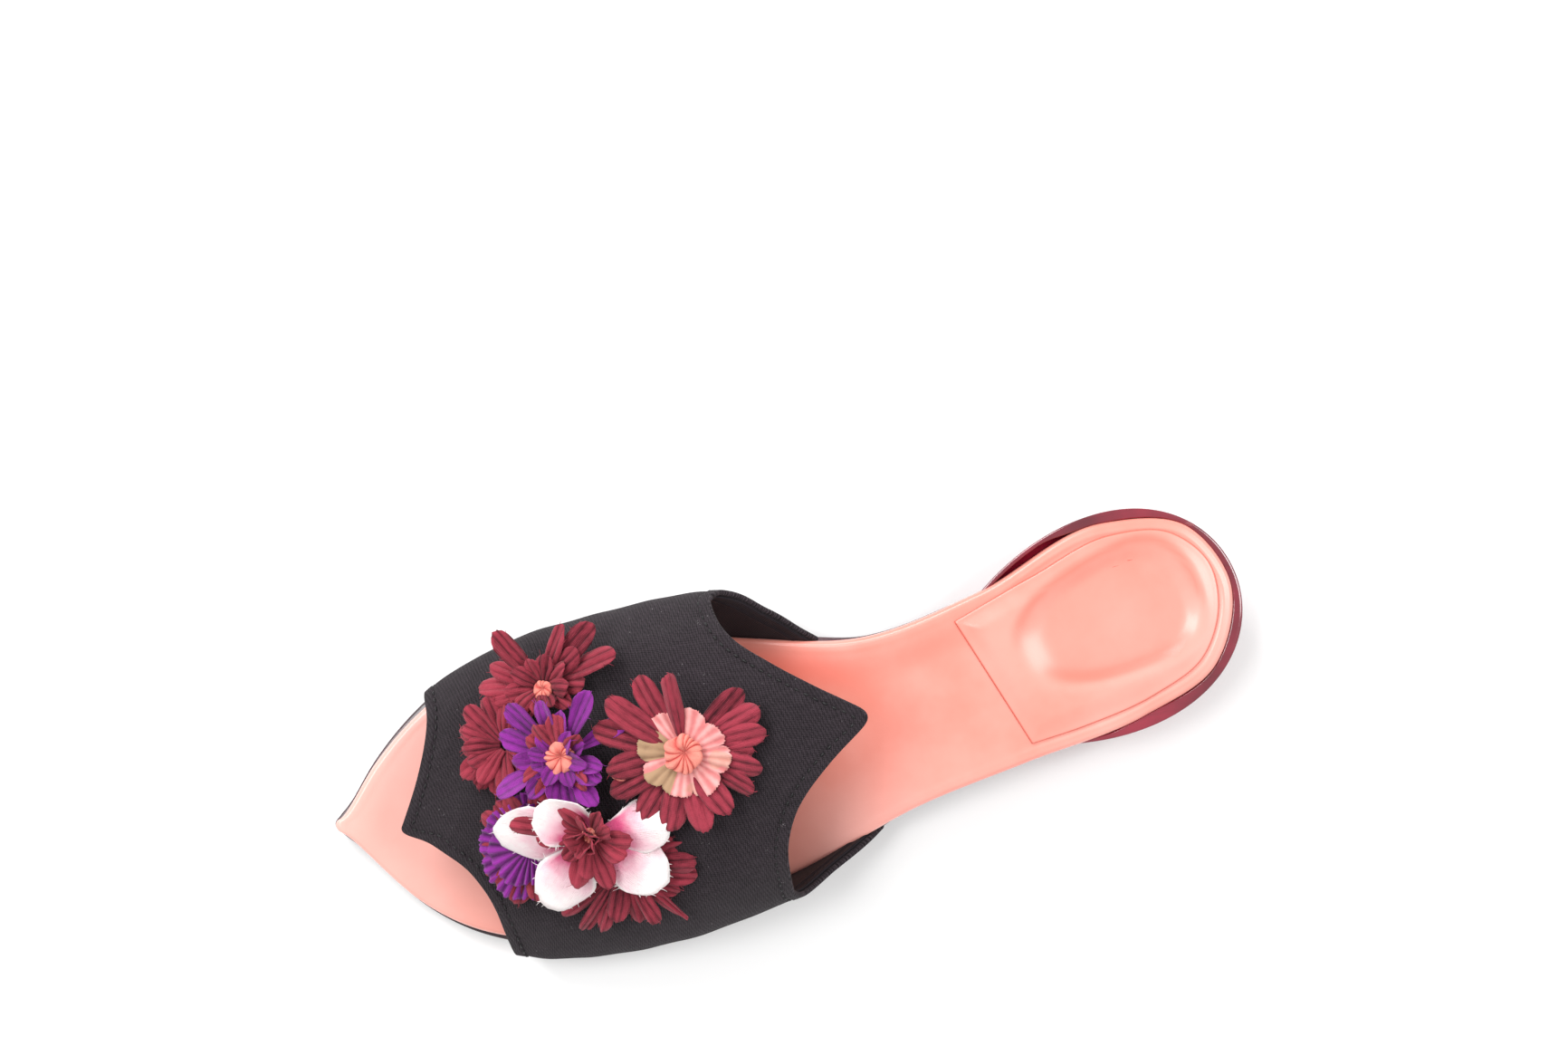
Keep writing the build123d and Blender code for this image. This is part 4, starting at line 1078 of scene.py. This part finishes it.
def posy(cloth):
    """Every flower of the posy, from the lowest ring to the highest, with the CAD nodes each
    stands for. A petal is listed as angle, reach, width, tilt and its own changes, with angles in
    degrees from the heel's side towards the medial side."""
    burgundy, purple, blossom, salmon, coral = cloth
    made = []

    def ring_of(count, reach, width, tilt, start=0.0, spread=5.0, seed=0):
        """Petals spread evenly round a flower, each a little off in angle and size."""
        rng = np.random.default_rng(seed)
        return [(start + 360 * k / count + rng.normal(0, spread), reach * rng.uniform(0.86, 1.08),
                 width * rng.uniform(0.85, 1.1), tilt + rng.normal(0, 4)) for k in range(count)]

    def add(piece, *nodes):
        """Keeps a flower with the nodes that it stands for."""
        made.append((piece, nodes))

    # burgundy fan on the medial toe side: two tiers of pleated petals
    add(flower("fan_cloth", 3, on_vamp(-73.1, 12.1, 2.0), ring_of(15, 13.2, 6.0, 3, 5, 3, 2), burgundy,
               pleat=0.6, droop=1.6, waist=0.5, ripple=0.45), "fan_petals")
    add(flower("fan_upper_tier", 4, on_vamp(-72.6, 12.6, 3.0),
               [(96, 13.8, 5.6, 14), (120, 14.6, 5.8, 12), (142, 12, 5.4, 16), (168, 10.8, 5.4, 16),
                (196, 10.5, 5.4, 16), (222, 12, 5.6, 10), (70, 11, 5, 14)], burgundy,
               pleat=0.7, droop=1.2, waist=0.45, ripple=0.5))
    # carnation: a burgundy round below and a crimped purple one above
    add(flower("carnation_back", 5, on_vamp(-71.4, -15.3, 1.6), ring_of(15, 16.2, 6.0, 0, 0, 3, 6),
               burgundy, droop=2.4, waist=0.5), "carnation_petals")
    add(ruffle("carnation_cloth", 6, on_vamp(-71.4, -15.3, 2.4), 15.0, 10, 34, 2.2, purple, slit=0.12,
               crimp=0.30, drop=2.2), "carnation_frill")
    add(ruffle("carnation_upper_tier", 7, on_vamp(-71.6, -14.6, 4.2), 11.6, 7, 25, 2.2, purple, slit=0.2,
               crimp=0.34, drop=1.6))
    # lower flower, mostly under the blossom
    low = [(5, 17.5, 5.6, 4), (-6, 19.3, 5.8, 2), (-23, 19.2, 5.6, 2), (-42, 16, 5.2, 2),
           (-57, 21.8, 4.2, 2), (-72, 17.5, 4.6, 8), (-90, 16.5, 5.2, 2), (-111, 15.6, 5.8, 8),
           (-124, 20, 4.8, 2), (-134, 23.8, 4.2, 0), (-152, 24.0, 5.2, 0), (-170, 19, 5.4, 2),
           (20, 15, 5.4, 8), (160, 15, 5.4, 4)]
    add(flower("low_flower_cloth", 12, on_vamp(-48.2, -24.4, 1.8), low, burgundy, droop=3.4, ripple=0.8,
               pleat=0.5), "low_daisy_petals")
    # top flower with raised petals
    top = [(112, 18.2, 5.4, 34, {"cup": -1.6, "pleat": 0.2, "waist": 0.3}), (148, 15.4, 5.2, 10),
           (163, 18.2, 6.2, 2), (180, 15.5, 5.6, 2), (205, 11.5, 5.4, 8), (232, 10.5, 5.2, 12),
           (-13, 13, 5.4, 12), (-45, 11, 5.4, 10), (9, 23.0, 6.4, 9), (22, 15, 5.4, 18),
           (33, 21.8, 7.0, 14), (50, 17.5, 5.6, 22)]
    add(flower("top_flower_cloth", 14, on_vamp(-58.8, 25.5, 4.0), top, burgundy, pleat=0.6, ripple=0.55,
               droop=1.8), "top_flower_petals")
    heart = [(92, 8.5, 5.2, 34), (60, 9.5, 5.2, 28), (20, 10, 5.2, 22), (135, 9, 5.0, 30),
             (180, 10, 5.4, 20), (218, 9.5, 5.2, 24), (-20, 9.5, 5.2, 24), (-75, 9, 5.0, 28),
             (255, 8.5, 5.0, 30)]
    add(flower("top_flower_heart", 15, on_vamp(-58.8, 25.5, 5.6), heart, burgundy, pleat=0.5, ripple=0.6,
               droop=1.0, waist=0.5), "top_flower_inner")
    add(button("top_flower_knot", 16, on_vamp(-58.6, 24.6, 6.6), 2.7, 2.6, 7, coral), "top_flower_button")
    # large daisy
    daisy = [(110, 23.0, 6.4, 6), (83, 22.0, 4.4, 24, {"cup": 2.6, "pleat": 0.1, "twist": 0.9}),
             (33, 22.4, 6.8, 6), (18.5, 23.2, 6.6, 3), (5, 22.2, 6.6, 5), (-24, 20.8, 6.6, 3),
             (-38.5, 20.4, 5.6, 0), (-66, 19.4, 6.8, 2), (-89, 20.9, 7.0, 2), (-115, 20.4, 6.8, 2),
             (-140, 20.8, 7.0, 3), (-162, 22.2, 6.6, 3), (177, 20.4, 6.8, 6), (151, 24.4, 7.0, 5),
             (134, 24.2, 6.6, 9), (-10, 18, 6.0, 0)]
    add(flower("daisy_cloth", 21, on_vamp(-25.5, 1.6, 4.0), daisy, burgundy, droop=3.0, pleat=0.62,
               ripple=0.4, rise=2.4, waist=0.42, belly=0.6), "daisy_petals")
    add(ruffle("daisy_ruffle_cloth", 22, on_vamp(-25.5, 1.6, 6.0), 11.9, 8, 24, 1.2, salmon,
               tan=((128, 178), (196, 236)), flare=0.7, slit=0.22, crimp=0.16), "daisy_ruffle")
    add(button("daisy_knot", 23, on_vamp(-25.5, 1.6, 6.8), 5.3, 3.8, 11, coral), "daisy_button")
    # purple flower: spoon-shaped petals round a knot, with burgundy ones between
    spoon = {"waist": 0.22, "belly": 0.8}
    outer = [(122, 19.8, 5.4, 10), (92, 16.6, 4.8, 24), (45, 20.8, 5.8, 22), (14, 22.4, 5.6, 4),
             (147, 17.4, 5.8, 10), (-166, 20.2, 6.4, 2), (172, 13, 5.2, 12), (-140, 13.5, 5.6, 8),
             (-111, 12, 5.4, 12), (-84, 14, 5.4, 6), (-62, 16.6, 5.8, 12), (-40, 14, 5.6, 16),
             (-24, 13.4, 5.4, 18), (68, 13, 4.8, 22)]
    add(flower("purple_flower_cloth", 31, on_vamp(-57, 7, 7.2), outer, purple, pleat=0.2, cup=-1.0,
               ripple=0.4, droop=1.6, fray=0.12, **spoon), "purple_petals")
    add(flower("purple_flower_heart", 32, on_vamp(-57, 7, 8.4), ring_of(8, 9.5, 4.8, 24, 12, 8, 33), purple,
               pleat=0.2, cup=-1.2, droop=0.8, fray=0.12, waist=0.45), "purple_inner")
    tucked = [(108, 11.5, 5.0, 30), (78, 12.5, 5.2, 26), (132, 10.5, 4.8, 24), (30, 10.5, 4.6, 26),
              (-128, 12.5, 5.0, 8), (-52, 12, 5.0, 20), (196, 12, 4.8, 6)]
    add(flower("tucked_burgundy_petals", 35, on_vamp(-57, 7, 8.2), tucked, burgundy, pleat=0.4, ripple=0.5,
               droop=1.0))
    add(button("purple_knot", 34, on_vamp(-57, 7, 9.2), 4.5, 3.8, 9, coral), "purple_button")
    # blossom: five broad cupped petals
    round_petal = {"fibres": 22, "pleat": 0.12, "ripple": 0.5, "fray": 0.22, "waist": 0.2, "belly": 0.62,
                   "cup": 1.8}
    broad = [(171, 27.0, 16.5, 2, {"droop": 3.4}), (-134, 24.5, 16.5, 1, {"droop": 3.6}),
             (-47, 23.2, 16.0, 3, {"droop": 3.6}), (-3, 22.0, 14.5, 2, {"droop": 2.6}),
             (128, 16.5, 15.5, 30, {"droop": 1.0, "cup": -2.6, "waist": 0.5})]
    add(flower("blossom_cloth", 41, on_vamp(-54, -14, 7.6), broad, blossom, **round_petal),
        "blossom_petals")
    leaves = [(157, 21.0, 4.8, 10), (166, 14.0, 5.8, 12), (122, 11.5, 5.8, 20), (-16, 12.0, 5.4, 12),
              (-40, 11.0, 5.0, 22), (-83, 14.4, 5.8, 4), (-103, 11.0, 5.4, 16), (-121, 14.2, 6.0, 4),
              (48, 9.5, 5.2, 34), (88, 8.5, 5.2, 40), (-152, 9, 5.2, 24), (14, 9.0, 5.0, 30)]
    add(flower("blossom_heart_cloth", 42, on_vamp(-54, -14, 10.2), leaves, burgundy, pleat=0.5, ripple=0.7,
               droop=1.6), "blossom_flower")
    add(flower("blossom_heart_folds", 45, on_vamp(-54, -14, 10.6), ring_of(5, 6.8, 5.4, 52, 20, 20, 46),
               burgundy, pleat=0.3, ripple=1.1, droop=0.4, waist=0.7, cup=-2.0))
    add(button("blossom_knot", 43, on_vamp(-54, -13.4, 11.6), 2.2, 2.2, 6, coral), "blossom_button")
    add(button("small_knot", 44, on_vamp(-42.9, 0.1, 6.0), 2.3, 2.3, 7, coral), "small_button")
    return made


# ---- Put together ----------------------------------------------------------------------------------
twill, lining, leather = black_twill(), dark_lining(), coral_leather()
lacquer, sole = heel_lacquer(), sole_lacquer()
thread = plain("black_thread", (0.005, 0.004, 0.005), 0.5, 3000)
burgundy = petal_cloth("burgundy_cloth", (0.030, 0.001, 0.005), (0.36, 0.038, 0.064))
purple = petal_cloth("purple_cloth", (0.022, 0.000, 0.030), (0.27, 0.010, 0.30), satin=0.6)
blossom = petal_cloth("blossom_cloth", (0.8, 0.4, 0.5), (0.9, 0.8, 0.8),
                      tip=((0.74, 0.09, 0.24), (0.90, 0.56, 0.64), (0.93, 0.86, 0.85)))
salmon = ruffle_cloth()
coral = petal_cloth("coral_cloth", (0.62, 0.050, 0.045), (0.95, 0.32, 0.25), satin=0.3)


def finish_piece(piece, slot, *nodes):
    """Fixes a piece to the shoe and hides the nodes it stands for. Its slot is not used."""
    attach(piece, "root")
    if nodes:
        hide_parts(*nodes)
    return piece


vamp = finish_piece(shell("vamp_cloth", 0.0, CLOTH_T, twill, 0.0),
                    "black_twill", "vamp_outer", "vamp_interlining")
vamp_inside = finish_piece(shell("vamp_lining_cloth", CLOTH_T + 0.02, VAMP_T, lining, 1.0),
                           "dark_lining", "vamp_lining")
finish_piece(stitches("toe_edge_stitches", FRONT_X, FRONT_SLANT, 1, thread), "thread")
finish_piece(stitches("throat_edge_stitches", BACK_X, BACK_SLANT, -1, thread), "thread")
pad = finish_piece(footbed(leather), "coral_leather", "insole_cover", "insole_foam")
sock = finish_piece(heel_sock(leather), "coral_leather", "heel_sock", "heel_sock_pad")
finish_piece(outsole(sole), "sole_lacquer", "outsole")
finish_piece(heel(lacquer), "heel_lacquer", "heel_block")

SLOT_OF = {burgundy: "burgundy_cloth", purple: "purple_cloth", blossom: "blossom_cloth",
           salmon: "ruffle_cloth", coral: "coral_cloth"}
for piece, nodes in posy((burgundy, purple, blossom, salmon, coral)):
    finish_piece(piece, SLOT_OF[piece.data.materials[0]], *nodes)
finish_piece(backing(twill), "black_twill", "flower_backing", "flower_threads")

INSIDE = {"rubber": plain("top_piece_rubber", (0.03, 0.028, 0.028), 0.7, 900),
          "steel": plain("steel", (0.55, 0.55, 0.56), 0.35, 1500, 0.02, 1.0),
          "fibreboard": plain("fibreboard", (0.42, 0.30, 0.20), 0.85, 700),
          "cork": plain("cork", (0.50, 0.33, 0.19), 0.9, 420, 0.15)}
for node, key in (("heel_top_piece", "rubber"), ("heel_top_piece_pins", "steel"), ("heel_screw", "steel"),
                  ("heel_nails", "steel"), ("shank", "steel"), ("shank_rivets", "steel"),
                  ("shank_board", "fibreboard"), ("insole_board", "fibreboard"), ("forepart_filler", "cork")):
    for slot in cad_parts[node].material_slots:
        slot.material = INSIDE[key]

# ---- Floor, light and camera -------------------------------------------------------------------------
bpy.ops.mesh.primitive_plane_add(size=6, location=(0, 0, 0))
floor = bpy.context.active_object
floor.name = "floor"
ground = Shader("floor_white", 0.9, (0.93, 0.93, 0.93))
floor.data.materials.append(ground.material)

world = bpy.data.worlds.new("studio")
bpy.context.scene.world = world
bpy.context.scene.view_settings.view_transform = "Standard"
world.use_nodes = True
world.node_tree.nodes["Background"].inputs["Color"].default_value = (1.0, 0.995, 0.99, 1)
world.node_tree.nodes["Background"].inputs["Strength"].default_value = 0.72


def softbox(name, place, aim, size, power):
    """A square area light at a place in metres, facing a point."""
    light = bpy.data.lights.new(name, "AREA")
    light.shape = "SQUARE"
    light.size = size
    light.energy = power
    lamp = bpy.data.objects.new(name, light)
    lamp.location = place
    lamp.rotation_euler = (Vector(aim) - Vector(place)).to_track_quat("-Z", "Y").to_euler()
    bpy.context.scene.collection.objects.link(lamp)


softbox("softbox_main", (-0.38, 0.92, 0.80), (0, 0, 0), 0.6, 10.5)
softbox("softbox_over", (-0.42, 0.26, 1.05), (0, 0, 0), 0.36, 4.0)
softbox("softbox_right", (0.70, 0.05, 0.90), (0, 0, 0), 0.4, 4.2)

camera_data = bpy.data.cameras.new("camera")
camera_data.lens = 50
camera_data.sensor_width = 36
camera = bpy.data.objects.new("camera", camera_data)
VIEW_TURN = math.radians(-13.28)
EYE_HEIGHT = 614.0
EYE = (np.array([12.7, 52.9, EYE_HEIGHT]) + SHIFT) * MM
camera.matrix_world = Matrix.Translation(EYE) @ Matrix.Rotation(VIEW_TURN, 4, "Z")
bpy.context.scene.collection.objects.link(camera)
bpy.context.scene.camera = camera
bpy.context.view_layer.update()
